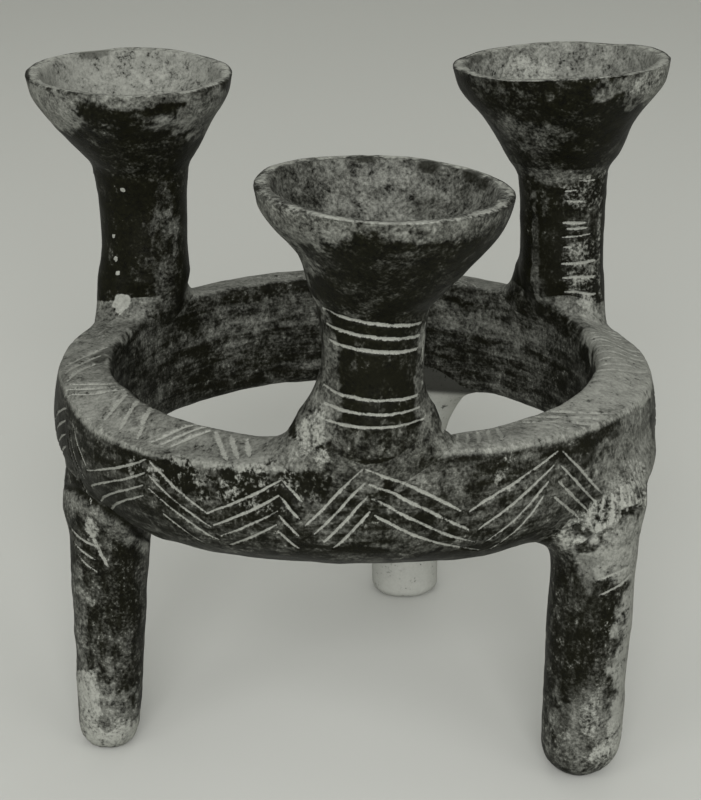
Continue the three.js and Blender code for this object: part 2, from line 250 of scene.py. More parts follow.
LEG_LINES = {
    "left": [((-154, 96.0, -106, 91.8), (-140, 86.0, -104, 79.5), 3, 0.5, 0.9),
             single((-119, 100.7, -88, 83.0), 0.9, 0.7)],
    "right": [((-90, 87.9, -48, 91.0), (-86, 81.0, -26, 87.5), 2, 0.6, 0.9)],
    "rear": [],
}

# Patches: what marks the clay, then angle, level, half length, half height and amount. A hole is sunk and
# also painted dark, which is painted shade in it
RING_PATCHES = [
    ("flaked", -110, 6.5, 26, 7, 0.85), ("flaked", -125, 6, 16, 4.5, 0.7), ("flaked", -98, 6, 8, 7, 0.5),
    ("flaked", 118, 8, 24, 8, 0.9), ("pale", -108, 0.5, 15, 2.6, 0.22), ("pale", -114, -3, 12, 4, 0.15),
    ("pale", -140, -0.5, 52, 1.3, 0.3), ("pale", -95.2, -3, 4.2, 6, 0.45), ("pale", -64, 9.5, 4, 2.5, 0.35),
    ("pale", -24, -0.5, 22, 2.4, 0.4), ("pale", -43.8, 37, 10, 6, 0.5), ("pale", -39, 31, 16, 7, 0.4),
    ("pale", -31, 27, 14, 10, 0.32), ("pale", 168, -6, 16, 8, 0.4), ("pale", 35, -3, 8, 3, 0.5),
    ("pale", -12, -11, 86, 14, 0.38), ("pale", 150, 20, 12, 8, 0.5), ("worn", -86, 1, 24, 10, 0.16),
    ("worn", -75, 8, 12, 6, 0.2), ("worn", -87, 2, 20, 10, 0.42), ("worn", -28, 15, 34, 22, 0.36),
    ("worn", 36, -44, 66, 24, 0.14), ("worn", -55, 20, 34, 16, 0.12), ("worn", 172, -9, 26, 14, 0.6),
    ("worn", 90, -44, 130, 26, 0.2), ("worn", -10, -11, 92, 15, 1.1), ("worn", 60, 14, 26, 16, 0.5),
    ("worn", 95, 26, 30, 10, 0.4), ("dark", -34.7, 6.2, 6.5, 2.6, 0.75), ("dark", -44, 7, 7, 5, 0.6),
    ("dark", -118, -10, 32, 10, 0.22), ("dark", -176, -15, 7, 3, 0.7), ("dark", 178, -19, 8, 3, 0.6),
    ("dark", -140, 22, 30, 14, 0.25), ("hole", -43.4, 36, 3.6, 1.3, 1.0),
    ("hole", -35.2, 29.8, 5.5, 1.1, 1.0), ("hole", -30.5, 28.2, 3, 0.8, 1.0)]
STEM_PATCHES = {
    "front": [("worn", -150, 176, 7, 30, 0.5), ("pale", -155, 157, 4, 11, 0.5),
              ("worn", -92, 153, 20, 9, 0.22), ("worn", -20, 172, 5, 26, 0.5),
              ("worn", 8, 158, 10, 24, 0.5), ("worn", 176, 160, 12, 26, 0.5),
              ("worn", -86, 146, 26, 12, 0.2), ("pale", -18, 186, 1.5, 20, 0.35),
              ("dark", -90, 181, 13, 5, 0.5)],
    "left": [("pale", -116, 153.6, 3.2, 3.6, 1.0), ("pale", -107, 200, 1.0, 1.0, 1.0),
             ("pale", -130, 179.7, 0.9, 0.9, 1.0), ("pale", -127, 170.7, 1.0, 1.0, 1.0),
             ("pale", -123, 165.3, 1.1, 1.1, 1.0), ("worn", -60, 170, 7, 30, 0.3),
             ("worn", 60, 175, 12, 30, 0.5)],
    "right": [("pale", -66, 168, 10, 15, 0.32), ("pale", -60, 198, 13, 10, 0.32),
              ("pale", -34, 178, 2, 28, 0.35), ("worn", -70, 178, 12, 30, 0.12),
              ("worn", -100, 206, 22, 6, 0.3), ("worn", -134, 172, 2.5, 26, 0.5),
              ("pale", -58, 154, 6, 5, 0.5), ("dark", -110, 178, 8, 24, 0.6),
              ("worn", 100, 170, 14, 24, 0.4)],
}
LEG_PATCHES = {
    "left": [("pale", -132, 16, 12, 22, 0.6), ("pale", -92, 2, 36, 15, 0.6), ("worn", -105, 14, 34, 22, 0.5),
             ("worn", -140, 50, 6, 34, 0.35), ("worn", -90, 60, 26, 50, 0.1),
             ("pale", -112, 99, 3, 4, 0.6), ("worn", 60, 40, 12, 30, 0.5)],
    "right": [("worn", -14, 52, 12, 60, 0.9), ("worn", -40, 98, 24, 15, 0.75),
              ("pale", -84, 30, 5, 9, 0.4), ("worn", -76, 20, 24, 24, 0.32),
              ("pale", -36, 12, 12, 12, 0.5), ("dark", -112, 60, 9, 34, 0.4), ("pale", 60, 30, 10, 22, 0.5)],
    "rear": [("hole", -60, 84, 1.2, 2.0, 0.8)],
}
# On bowls the level is a share of the height, and the half length is in degrees
BOWL_PATCHES = {
    "front": [("worn", -140, 0.9, 40, 0.25, 0.5), ("worn", -60, 0.95, 60, 0.14, 0.4),
              ("worn", 200, 0.6, 30, 0.3, 0.4), ("pale", 212, 0.97, 34, 0.05, 0.3)],
    "left": [("worn", -145, 0.75, 42, 0.3, 0.8), ("worn", -30, 0.7, 36, 0.32, 0.6),
             ("worn", -80, 0.96, 70, 0.1, 0.5)],
    "right": [("worn", -30, 0.85, 46, 0.22, 0.6), ("pale", -42, 0.86, 20, 0.12, 0.4),
              ("worn", -110, 0.5, 40, 0.12, 0.25)],
}
# Dark chips on the rims and in the hollows
BOWL_CHIPS = {
    "front": [("dark", 100, 0.98, 7, 0.04, 0.9), ("dark", 66, 0.97, 7, 0.05, 0.9),
              ("dark", 40, 0.97, 6, 0.05, 0.9), ("dark", 28, 0.95, 5, 0.05, 0.8),
              ("dark", 60, 0.66, 14, 0.12, 0.35), ("pale", -96, 0.5, 40, 0.2, 0.3)],
    "left": [("dark", 120, 0.98, 12, 0.04, 0.6), ("pale", 60, 0.6, 30, 0.3, 0.3)],
    "right": [("dark", 150, 0.97, 14, 0.05, 0.7), ("pale", 110, 0.75, 26, 0.2, 0.4)],
}

# The crack where the left leg parts from the ring lies in one plane: its height over the leg's
# axis, its slopes along x and y, its half width, how far round the leg it shows, and the width and
# wear of its lower edge
CRACK = dict(level=101.1, slope=(-0.67, -0.465), half_width=1.35, middle=-90, reach=(84, 102),
             edge=5.0, wear=0.42)

# The pale rear leg is dark again from one height to the other, where it joins the ring
REAR_COLLAR = (97.5, 100.5)

# Depths of what the surface has lost
GROOVE_DEPTH = 0.5
FLAKE_DEPTH = 0.45
HOLE_DEPTH = 1.8
CRACK_DEPTH = 1.2

# A column thins away inside the ring it is smoothed onto
SKIRT_SINK = 0.9
SKIRT_CURVE = 1.3
# Where two skins meet, each dips this far under the other, over this range of rise off the ring, or
# over this range of a column's own distance, as a share of its fillet
TUCK = 0.3
TUCK_RISE = (0.5, 1.5)
SKIRT_TUCK = 1.2
SKIRT_TUCK_RISE = (0.85, 1.2)
COVERED = 2.5
# Feeling for a skin: where it starts, rounds, and the share of the gap that each round closes
NEAREST, COLUMN_ROUNDS, COLUMN_STRIDE = 0.5, 60, 0.85
RISE_REACH, RISE_ROUNDS, RISE_STRIDE = 62.0, 25, 0.9

# Fineness: points around each piece, and the distance between rows
RING_COLUMNS = 1440
STEM_COLUMNS = 216
BOWL_COLUMNS = 320
LEG_COLUMNS = 180
FINE_STEP = 0.5
ROUGH_STEP = 0.9
LEG_STEP = 0.65
BOWL_STEP = 0.62
CURVE_POINTS = 24
FOOT_ROWS = 14
SKIRT_STEP = math.radians(1.0)
LEG_SKIRT_STEP = 1.3 * SKIRT_STEP
STEEPEST = math.radians(72)
SHARP_ANGLE = math.radians(65)

RING_INSIDE = RING_RADIUS - RING_WIDTH
CHANNEL_INSIDE = RING_INSIDE + INNER_WALL
CHANNEL_OUTSIDE = RING_RADIUS - OUTER_WALL
CHANNEL_MIDDLE = (CHANNEL_INSIDE + CHANNEL_OUTSIDE) / 2
CHANNEL_BOTTOM = RING_BOTTOM + FLOOR_THICKNESS

# The finished skins stay inside the model's box
BOX_LOW, BOX_HIGH = (np.array(corner) / MM - (*RING_AXIS, 0) for corner in MODEL_BOX)

# How far off the ring's own skin its lines and patches reach, as on the fillets of the columns, and
# how far off a column's roll its own reach
RING_REACH = 8.0
STEM_REACH = 9.0
LEG_REACH = 26.0
# Marks of a stem end above its top, and those of a leg lie between two heights
STEM_MARKS_END = 6.0
LEG_MARKED = (-1.0, 112.0)

# Wear of the ring's top between two levels, and of the ridge with its pale paste: level, half width
# and amount of a band, and the azimuths between which the paste shows
TOP_WEAR = 0.63
TOP_WORN = ((-21, -18), (-1.5, 1))
RIDGE_WEAR = (0.2, 2.4, 0.7)
RIDGE_PASTE = (0.3, 2.2, 0.28)
PASTE_AZIMUTHS = ((-78, -66), (-24, -4))
# In front of the front stem the clay keeps its burnish: azimuth, half width and amount
KEPT_FRONT = (-87, 17, 0.85)

# Wear of a bowl by rows from its crest: where the hollow's sets in, and the paste along the lip
HOLLOW_ROWS = (-2, 1)
LIP_ROWS = (0.5, 5.5)
LIP_WEAR = 0.8
LIP_UNBROKEN = 0.75
# On this radius one degree is one unit long, which is how a bowl's patches are measured
ONE_PER_DEGREE = 180 / math.pi

# A line's width at its middle, how it thins to its ends, how ragged it is and how far it is looked
# for, in half widths; what faint or lost lime leaves; and where the groove's edge lies
LINE_MIDDLE, LINE_THINS, LINE_RAGGED, LINE_LOOKED = 1.1, 0.45, 0.25, 3.5
LIME_FADE, FAINT_LIME, LOST_LIME, LOST_RANGE = 2.6, 0.6, 0.8, (-0.75, -0.1)
FAINT_GROOVE, GROOVE_EDGE = 0.4, (0.6, 1.5)

# How ragged the edges of the patches are, how far a patch reaches and how soft its edge is
RAGGED = {"worn": 0.9, "pale": 0.9, "flaked": 1.9, "dark": 1.1, "hole": 0.6}
PATCH_REACH, PATCH_LOOKED, PATCH_EDGE, HOLE_EDGE = 1.1, 2, 0.45, 0.25
FLAKED_RANGE, FLAKED_ROUGH = (0.2, 0.7), 0.5

# Unevenness in layers of lumps: amount, size across and offset
UNEVEN = {
    "clay": [(0.55, 21, 3.1), (0.3, 9, 7.7), (0.1, 3.3, 1.3)],
    "paste": [(0.3, 2.4, 6.3), (0.2, 1.2, 2.2)],
    "ragged": [(0.34, 9, 0.6), (0.3, 3.7, 4.9), (0.22, 1.7, 8.2)],
    "wander_along": [(0.2, 6.5, 0.3), (0.1, 2.2, 1.9)],
    "wander_down": [(0.2, 6.5, 9.1), (0.1, 2.2, 5.3)],
    "filled": [(0.7, 6, 5.5), (0.6, 2.1, 2.7)],
    "crack": [(0.6, 8, 3.3)],
}

# How each kind of piece has aged: wear, light flecks, grain, and how its streaks run
AGES = {
    "ring": dict(Wear=0.13, Speckle=0.5, Grain=0.55, Streaks=(45, 45, 260)),
    "stem": dict(Wear=-0.04, Speckle=0.4, Grain=0.7, Streaks=(150, 150, 60)),
    "bowl": dict(Wear=0.02, Speckle=0.3, Grain=0.8, Streaks=(70, 70, 140)),
    "leg": dict(Wear=0.1, Speckle=0.6, Grain=0.7, Streaks=(170, 170, 45)),
    "rear_leg": dict(Wear=1.4, Speckle=0.2, Grain=0.2, Streaks=(120, 120, 50)),
}
# Noise that breaks up the clay's surface: scale, detail, roughness and distortion
CLAY_NOISE = {"clouds": (30, 5, 0.6, 0), "mottle": (170, 6, 0.68, 0.4), "fine": (800, 5, 0.65, 0),
              "grain": (2400, 3, 0.6, 0)}
STREAK_NOISE = (1, 6, 0.68, 0.3)
# Where each layer of the clay's surface sets in and is full, and how strongly it covers
LAYERS = {
    "worn": (0.0, 1.0), "speckle": (1.6, 1.85), "pits": (-0.93, -0.82), "tone": (0.32, 0.68),
    "pale": (0.22, 0.75), "crust": (0.45, 0.75), "lime": (0.54, 0.74), "chalk": (0.38, 0.66)}
STRENGTHS = {"speckle": 0.7, "pits": 0.75, "dark": 0.9, "lime": 0.92}
CLAY_SHEEN = 0.06
BUMP_STRENGTH, BUMP_HEIGHT = 0.55, 0.35 * MM

# Paper: half its width, its front edge, where it bends up, how wide the bend is and its top
PAPER_HALF_WIDTH, PAPER_FRONT, PAPER_BACK = 9.0, -9.0, 1.6
PAPER_BEND, PAPER_TOP, PAPER_ROWS = 0.9, 3.5, 25
PAPER_ROUGHNESS, PAPER_SHEEN = 0.9, 0.2
# Lamps: place, power and size
LAMPS = {
    "key": ((-0.8, -1.4, 1.2), 7.0, 1.0),
    "fill": ((1.1, -1.4, 1.1), 8.0, 1.2),
    "low": ((0.0, -3.2, 1.5), 110.0, 1.6),
    "top": ((0.0, 0.6, 1.6), 4.0, 1.0),
}
LAMPS_AIM = (0, -0.3, 0)
SKY_STRENGTH = 0.98

# The dark mark holds dark patches of clay, and painted shade in the holes and the open crack
MARKS = ("lime", "worn", "pale", "flaked", "dark")


def smooth(value, low, high):
    """A soft step from 0 at low to 1 at high."""
    part = np.clip((value - low) / (high - low), 0, 1)
    return part * part * (3 - 2 * part)


def bump(value):
    """1 at 0, falling softly to 0 at 1 and -1."""
    return np.maximum(1 - value * value, 0) ** 2


def window(value, rise, fall):
    """A soft step up over one range and down again over another."""
    return smooth(value, *rise) * (1 - smooth(value, *fall))


def band(value, middle, half_width, amount):
    """A soft band about a middle, as high as its amount."""
    return amount * bump((value - middle) / half_width)


def turned_by(angle, middle):
    """Angle from a middle, between -180 and 180."""
    return (angle - middle + 180) % 360 - 180


def share(value, low, high):
    return np.clip((value - low) / (high - low), 0, 1)


def mix(first, second, part):
    return first + (second - first) * part


def on_ring(angle, radius):
    return np.array([radius * math.cos(math.radians(angle)), radius * math.sin(math.radians(angle))])


def around(angles, table, softness=5.0, step=0.5):
    """Values by azimuth from a table of (azimuth, value), with its corners rounded."""
    even = np.arange(-180, 180, step)
    values = np.interp(even, *zip(*table), period=360)
    reach = int(softness / step)
    padded = np.concatenate([values[-reach:], values, values[:reach]])
    rounded = np.convolve(padded, np.ones(2 * reach + 1) / (2 * reach + 1), "valid")
    return np.interp(angles, even, rounded, period=360)


LATTICE_SIZE = 64
LATTICE = np.random.default_rng(7).random((LATTICE_SIZE,) * 3)


def lumps(points, cell, offset):
    """Smooth noise from -1 to 1; its lumps are a cell across."""
    place = points / cell + offset
    low = np.floor(place).astype(int)
    part = place - low
    part = part * part * (3 - 2 * part)
    total = np.zeros(len(points))
    for corner in itertools.product((0, 1), repeat=3):
        index = ((low + corner) % LATTICE_SIZE).T
        weight = np.prod(np.where(corner, part, 1 - part), axis=1)
        total += weight * LATTICE[index[0], index[1], index[2]]
    return 2 * total - 1


def uneven(points, kind):
    return sum(amount * lumps(points, cell, offset) for amount, cell, offset in UNEVEN[kind])


def rounded_outline(outline, rounds):
    """A closed outline with its corners cut off again and again."""
    points = np.array(outline, float)
    for _ in range(rounds):
        after = np.roll(points, -1, axis=0)
        points = np.stack([mix(points, after, 0.25), mix(points, after, 0.75)], 1).reshape(-1, 2)
    return points


def placed(section, inside, outside, bottom, top):
    return [(inside + u * (outside - inside), bottom + v * (top - bottom)) for u, v in section]


def on_section(shares):
    return placed(shares, RING_INSIDE, RING_RADIUS, RING_BOTTOM, RING_TOP)


def turns(columns):
    return np.arange(columns) / columns * 2 * math.pi


def circle(centre, radius, height, columns):
    turn = turns(columns)
    return np.stack([centre[0] + radius * np.cos(turn), centre[1] + radius * np.sin(turn),
                     np.full(columns, float(height))], 1)


class RingField:
    """Distance from the ring's skin, and the way along the skin from the ridge, down the wall.

    Both are looked up by distance from the ring's axis and height.
    """

    LOW = np.array([50.0, 30.0])
    COUNT = (260, 400)
    STEP = 0.5
    ROUNDS = 3
    SAMPLES = 4000

    def __init__(self):
        self.outline = rounded_outline(on_section(RING_SECTION), self.ROUNDS)
        ends = np.roll(self.outline, -1, axis=0)
        lengths = np.hypot(*(ends - self.outline).T)
        self.way = np.concatenate([[0], np.cumsum(lengths)])
        self.round = self.way[-1]
        self.closed = np.vstack([self.outline, self.outline[:1]])
        self.ridge = self.way_at(RIDGE)
        self.distance, self.along = self.tables(ends, lengths)

    def way_at(self, shares):
        radius, height = on_section([shares])[0]
        return self.way[np.argmin(np.hypot(self.outline[:, 0] - radius, self.outline[:, 1] - height))]

    def tables(self, ends, lengths):
        grid = np.stack(np.meshgrid(*(low + self.STEP * np.arange(count)
                                      for low, count in zip(self.LOW, self.COUNT)), indexing="ij"), -1)
        nearest = np.full(self.COUNT, np.inf)
        along = np.zeros(self.COUNT)
        inside = np.ones(self.COUNT, bool)
        for start, end, length, way in zip(self.outline, ends, lengths, self.way):
            edge = (end - start) / length
            away = grid - start
            reach = np.clip(away @ edge, 0, length)
            distance = np.hypot(away[..., 0] - reach * edge[0], away[..., 1] - reach * edge[1])
            closer = distance < nearest
            nearest = np.where(closer, distance, nearest)
            along = np.where(closer, way + reach, along)
            inside &= edge[0] * away[..., 1] - edge[1] * away[..., 0] > 0
        return np.where(inside, -nearest, nearest), self.ridge - along

    def look_up(self, table, radius, height):
        x = np.clip((radius - self.LOW[0]) / self.STEP, 0, self.COUNT[0] - 1.001)
        y = np.clip((height - self.LOW[1]) / self.STEP, 0, self.COUNT[1] - 1.001)
        i, j = x.astype(int), y.astype(int)
        u, v = x - i, y - j
        return (table[i, j] * (1 - u) * (1 - v) + table[i + 1, j] * u * (1 - v)
                + table[i, j + 1] * (1 - u) * v + table[i + 1, j + 1] * u * v)

    def at(self, ways):
        """Points of the skin at the given ways along it."""
        ways = np.mod(ways, self.round)
        return np.stack([np.interp(ways, self.way, self.closed[:, k]) for k in (0, 1)], -1)

    def crossing(self, height, outer):
        """The way along the skin where it passes a height, on its outer or its inner side."""
        fine = np.linspace(0, self.round, self.SAMPLES, endpoint=False)
        points = self.at(fine)
        side = (points[:, 0] > CHANNEL_MIDDLE) == outer
        gap = np.where(side, np.abs(points[:, 1] - height), np.inf)
        return fine[np.argmin(gap)]


RING = RingField()


def filleted(first, second, fillet):
    """Two distances joined by a fillet, as smoothed clay joins two rolls."""
    blend = np.maximum(fillet - np.abs(first - second), 0) / fillet
    return np.minimum(first, second) - blend * blend * fillet / 4


class Column:
    """A stem or leg: an upright roll of clay that is smoothed onto the ring."""

    def __init__(self, **size):
        vars(self).update(size)
        self.place = on_ring(self.angle, CHANNEL_MIDDLE)

    def thinning(self, depth):
        return 1 - SKIRT_SINK * depth ** SKIRT_CURVE

    def flared(self, turn, fillet):
        """How much larger the fillet, or else the roll, is where the clay was smeared wide."""
        return sum((wider if fillet else thicker) * bump(turned_by(np.degrees(turn), middle) / half_width)
                   for middle, half_width, wider, thicker in self.flares)

    def fillet_at(self, turn, depth):
        """The fillet in a direction: from inwards to sideways and outwards, thinned inside the ring."""
        outward = np.minimum(1, 1 + np.cos(math.radians(self.angle) - turn))
        return (mix(*self.fillet, outward) + self.flared(turn, True)) * self.thinning(depth)

    def parts(self, points):
        """Distance from the roll, distance from the ring, and the fillet between them."""
        x, y, height = points[:, 0], points[:, 1], points[:, 2]
        centre = self.centre(height)
        turn = np.arctan2(y - centre[1], x - centre[0])
        radius, fillet = self.size(height, turn)
        shell = np.hypot(x - centre[0], y - centre[1]) - radius
        ring = RING.look_up(RING.distance, np.hypot(x, y), height)
        return shell, ring, fillet

    def skin(self, points):
        """0 on this column's skin, negative inside; it tucks under the ring's skin at its edge."""
        shell, ring, fillet = self.parts(points)
        tuck = TUCK * (1 - smooth(ring, *TUCK_RISE))
        tuck = tuck + SKIRT_TUCK * smooth(shell / fillet, *SKIRT_TUCK_RISE)
        return filleted(shell, ring, fillet) + tuck

    def rays(self, rows, columns):
        """Skin points, one row for each (start height, pitch)."""
        start, pitch = (np.repeat(part, columns) for part in np.array(rows).T)
        turn = np.tile(turns(columns), len(rows))
        slope = np.tan(pitch)
        x, y = self.centre(start)
        origin = np.stack([x, y, start], 1)
        way = np.stack([np.cos(turn), np.sin(turn), slope], 1)
        spread = sum(self.size(start, turn))
        limit = np.minimum(spread, self.skirt / np.maximum(np.abs(slope), self.skirt / spread))
        distance = np.full(len(start), NEAREST)
        for _ in range(COLUMN_ROUNDS):
            gap = self.skin(origin + way * distance[:, None])
            distance = np.clip(distance - COLUMN_STRIDE * gap * np.cos(pitch), NEAREST, limit)
        return (origin + way * distance[:, None]).reshape(len(rows), columns, 3)


class Stem(Column):
    def __init__(self, **size):
        super().__init__(**size)
        self.shoulder = RING_TOP + STEM_SHOULDER
        self.lowest = self.shoulder - STEM_SKIRT
        self.skirt = STEM_SKIRT
        self.marked_radius, self.widest = self.radius, self.radius + STEM_REACH

    def shown(self, height):
        """1 where the column shows, 0 at its thin end inside the ring."""
        return smooth(height - self.lowest, *STEM_SHOWN)

    def sunk(self, height):
        return 1 - share(height, self.lowest, self.shoulder)

    def centre(self, height):
        lift = share(height, RING_TOP, self.top)
        out = on_ring(self.angle, 1)
        return [self.place[i] + self.lean[i] * lift + STEM_SHIFT * self.sunk(height) * out[i]
                for i in (0, 1)]

    def size(self, height, turn):
        sunk = self.sunk(height)
        flare = share(height, self.top - NECK_FLARE, self.top) ** 3
        foot = self.spread * (1 - share(height, RING_TOP, RING_TOP + STEM_SPREAD)) ** 2
        radius = (mix(self.radius, self.neck, flare) + foot) * self.thinning(sunk)
        return radius - TUCK * smooth(height - self.top, *NECK_TUCK), self.fillet_at(turn, sunk)


class Leg(Column):
    def __init__(self, **size):
        super().__init__(**size)
        self.shoulder = RING_BOTTOM - LEG_SHOULDER
        self.highest = self.shoulder + LEG_SKIRT
        self.skirt = LEG_SKIRT
        self.marked_radius, self.widest = self.top_radius, self.top_radius + LEG_REACH

    def shown(self, height):
        """1 where the column shows, 0 at its thin end inside the ring."""
        return 1 - smooth(height, self.highest - LEG_SHOWN, self.highest)

    def centre(self, height):
        out = CHANNEL_MIDDLE + mix(self.foot_out, self.top_out, share(height, 0, RING_BOTTOM))
        return [out * part for part in on_ring(self.angle, 1)]

    def size(self, height, turn):
        raised = share(height, RING_BOTTOM, self.highest)
        lift = share(height, 0, RING_BOTTOM)
        thick = mix(self.foot_radius, self.top_radius, lift)
        thick = (thick + self.flared(turn, False) * smooth(lift, *LEG_THICKENS)) * self.thinning(raised)
        rest = 1 - share(height, 0, self.rounding)
        return mix(self.flat, thick, np.sqrt(1 - rest * rest)), self.fillet_at(turn, raised)


STEM_COLUMN = {name: Stem(**size) for name, size in STEMS.items()}
LEG_COLUMN = {name: Leg(**size) for name, size in LEGS.items()}


def settled(points):
    """The pot's uneven shape: its ridge and its underside rise and fall, and its wall swells."""
    radius, height = np.hypot(points[..., 0], points[..., 1]), points[..., 2]
    azimuth = np.degrees(np.arctan2(points[..., 1], points[..., 0]))
    near = window(height, *RIDGE_LIFTED) * smooth(radius, *RIDGE_LIFT_RADIUS)
    below = window(height, *BOTTOM_LIFTED)
    out = np.zeros(radius.shape)
    for middle, level, half_length, half_height, amount in SWELLINGS:
        away = np.radians(turned_by(azimuth, middle)) * RING_RADIUS
        out += band(away, 0, half_length, amount) * bump((height - level) / half_height)
    out *= smooth(radius, *SWELLING_RADIUS)
    moved = points.copy()
    moved[..., 2] += around(azimuth, RIDGE_LIFT) * near + around(azimuth, BOTTOM_LIFT) * below
    moved[..., :2] *= (1 + out / np.maximum(radius, 1))[..., None]
    return moved


def grid_normals(grid):
    """Outward normals of rows of points that close around; each row lies above the one before."""
    across = np.roll(grid, -1, axis=1) - np.roll(grid, 1, axis=1)
    up = np.roll(grid, -1, axis=0) - np.roll(grid, 1, axis=0)
    up[0] = grid[1] - grid[0]
    up[-1] = grid[-1] - grid[-2]
    normal = np.cross(across, up)
    return normal / np.maximum(np.linalg.norm(normal, axis=-1, keepdims=True), 1e-9)


def spaced(start, end, step):
    return np.linspace(start, end, max(2, int(math.ceil(abs(end - start) / step)) + 1))


class Skin:
    """A closed mesh that grows ring of points by ring of points."""

    def __init__(self):
        self.points = []
        self.marks = {name: [] for name in MARKS}
        self.quads = []
        self.triangles = []
        self.count = 0

    def ring(self, points, marks=None):
        index = np.arange(self.count, self.count + len(points))
        self.points.append(points)
        for name in MARKS:
            self.marks[name].append(marks[name] if marks else np.zeros(len(points)))
        self.count += len(points)
        return index

    def rows(self, grid, marks=None, every=1):
        return [self.ring(row[::every], marks and {name: marks[name][i][::every] for name in MARKS})
                for i, row in enumerate(grid)]

    def join(self, lower, upper):
        """Faces between two rings of equal count, or where one has twice as many points."""
        if len(lower) == len(upper):
            self.quads.append(np.stack([lower, np.roll(lower, -1), np.roll(upper, -1), upper], 1))
            return
        flip = len(upper) > len(lower)
        fine, coarse = (upper, lower) if flip else (lower, upper)
        even, odd, after = fine[::2], fine[1::2], np.roll(fine[::2], -1)
        beside = np.roll(coarse, -1)
        for face in ((even, odd, coarse), (odd, beside, coarse), (odd, after, beside)):
            self.triangles.append(np.stack(face[::-1] if flip else face, 1))

    def joined(self, rings, closed=True):
        for lower, upper in zip(rings, rings[1:] + rings[:1] if closed else rings[1:]):
            self.join(lower, upper)

    def cap(self, ring, point, above):
        tip = np.full(len(ring), self.ring(np.array([point]))[0])
        beside = np.roll(ring, -1)
        self.triangles.append(np.stack([ring, beside, tip] if above else [beside, ring, tip], 1))

    def make(self, name, node, material):
        """The mesh as an object that stands for a node of the model."""
        mesh = bpy.data.meshes.new(name)
        points = np.concatenate(self.points)
        points[:, :2] += RING_AXIS
        faces = [np.concatenate(part) for part in (self.quads, self.triangles) if part]
        corners = np.concatenate([part.ravel() for part in faces])
        sizes = np.concatenate([np.full(len(part), part.shape[1]) for part in faces])
        mesh.vertices.add(len(points))
        mesh.vertices.foreach_set("co", (points * MM).astype(np.float32).ravel())
        mesh.loops.add(len(corners))
        mesh.loops.foreach_set("vertex_index", corners.astype(np.int32))
        mesh.polygons.add(len(sizes))
        mesh.polygons.foreach_set("loop_start", (np.cumsum(sizes) - sizes).astype(np.int32))
        mesh.update(calc_edges=True)
        mesh.validate()
        for mark in MARKS:
            values = np.concatenate(self.marks[mark]).astype(np.float32)
            mesh.attributes.new(mark, "FLOAT", "POINT").data.foreach_set("value", values)
        mesh.shade_smooth()
        mesh.set_sharp_from_angle(angle=SHARP_ANGLE)
        mesh.materials.append(material)
        piece = bpy.data.objects.new(name, mesh)
        bpy.context.collection.objects.link(piece)
        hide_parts(node)
        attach(piece, "root")
        return piece


def weathered(base, added=None):
    """The finished skin of a grid of even points: its place and its marks."""
    grid = settled(base)
    normals = grid_normals(grid)
    flat = base.reshape(-1, 3)
    depth, marks = surface(flat)
    grid = grid + normals * depth.reshape(grid.shape[:2])[..., None]
    grid = np.clip(grid, BOX_LOW, BOX_HIGH)
    marks = {name: marks[name].reshape(grid.shape[:2]) for name in MARKS}
    for name, values in (added or {}).items():
        marks[name] = np.maximum(marks[name], values)
    return grid, marks


def ring_lines():
    """The zigzag all round the wall, and the strokes on top."""
    lines = [(*group, *ZIGZAG_LOOK) for group in ZIGZAG]
    width = (BACK_END - BACK_START) / BACK_GROUPS
    for group in range(BACK_GROUPS):
        start, end = BACK_START + group * width + BACK_GAP, BACK_START + (group + 1) * width - BACK_GAP
        levels = (BACK_HIGH, BACK_LOW) if group % 2 == 0 else (BACK_LOW, BACK_HIGH)
        first, last = ((start, levels[0] + down, end, levels[1] + down) for down in (0, BACK_REACH))
        lines.append((first, last, BACK_LINES, *BACK_LOOK))
    return lines + TOP_LINES


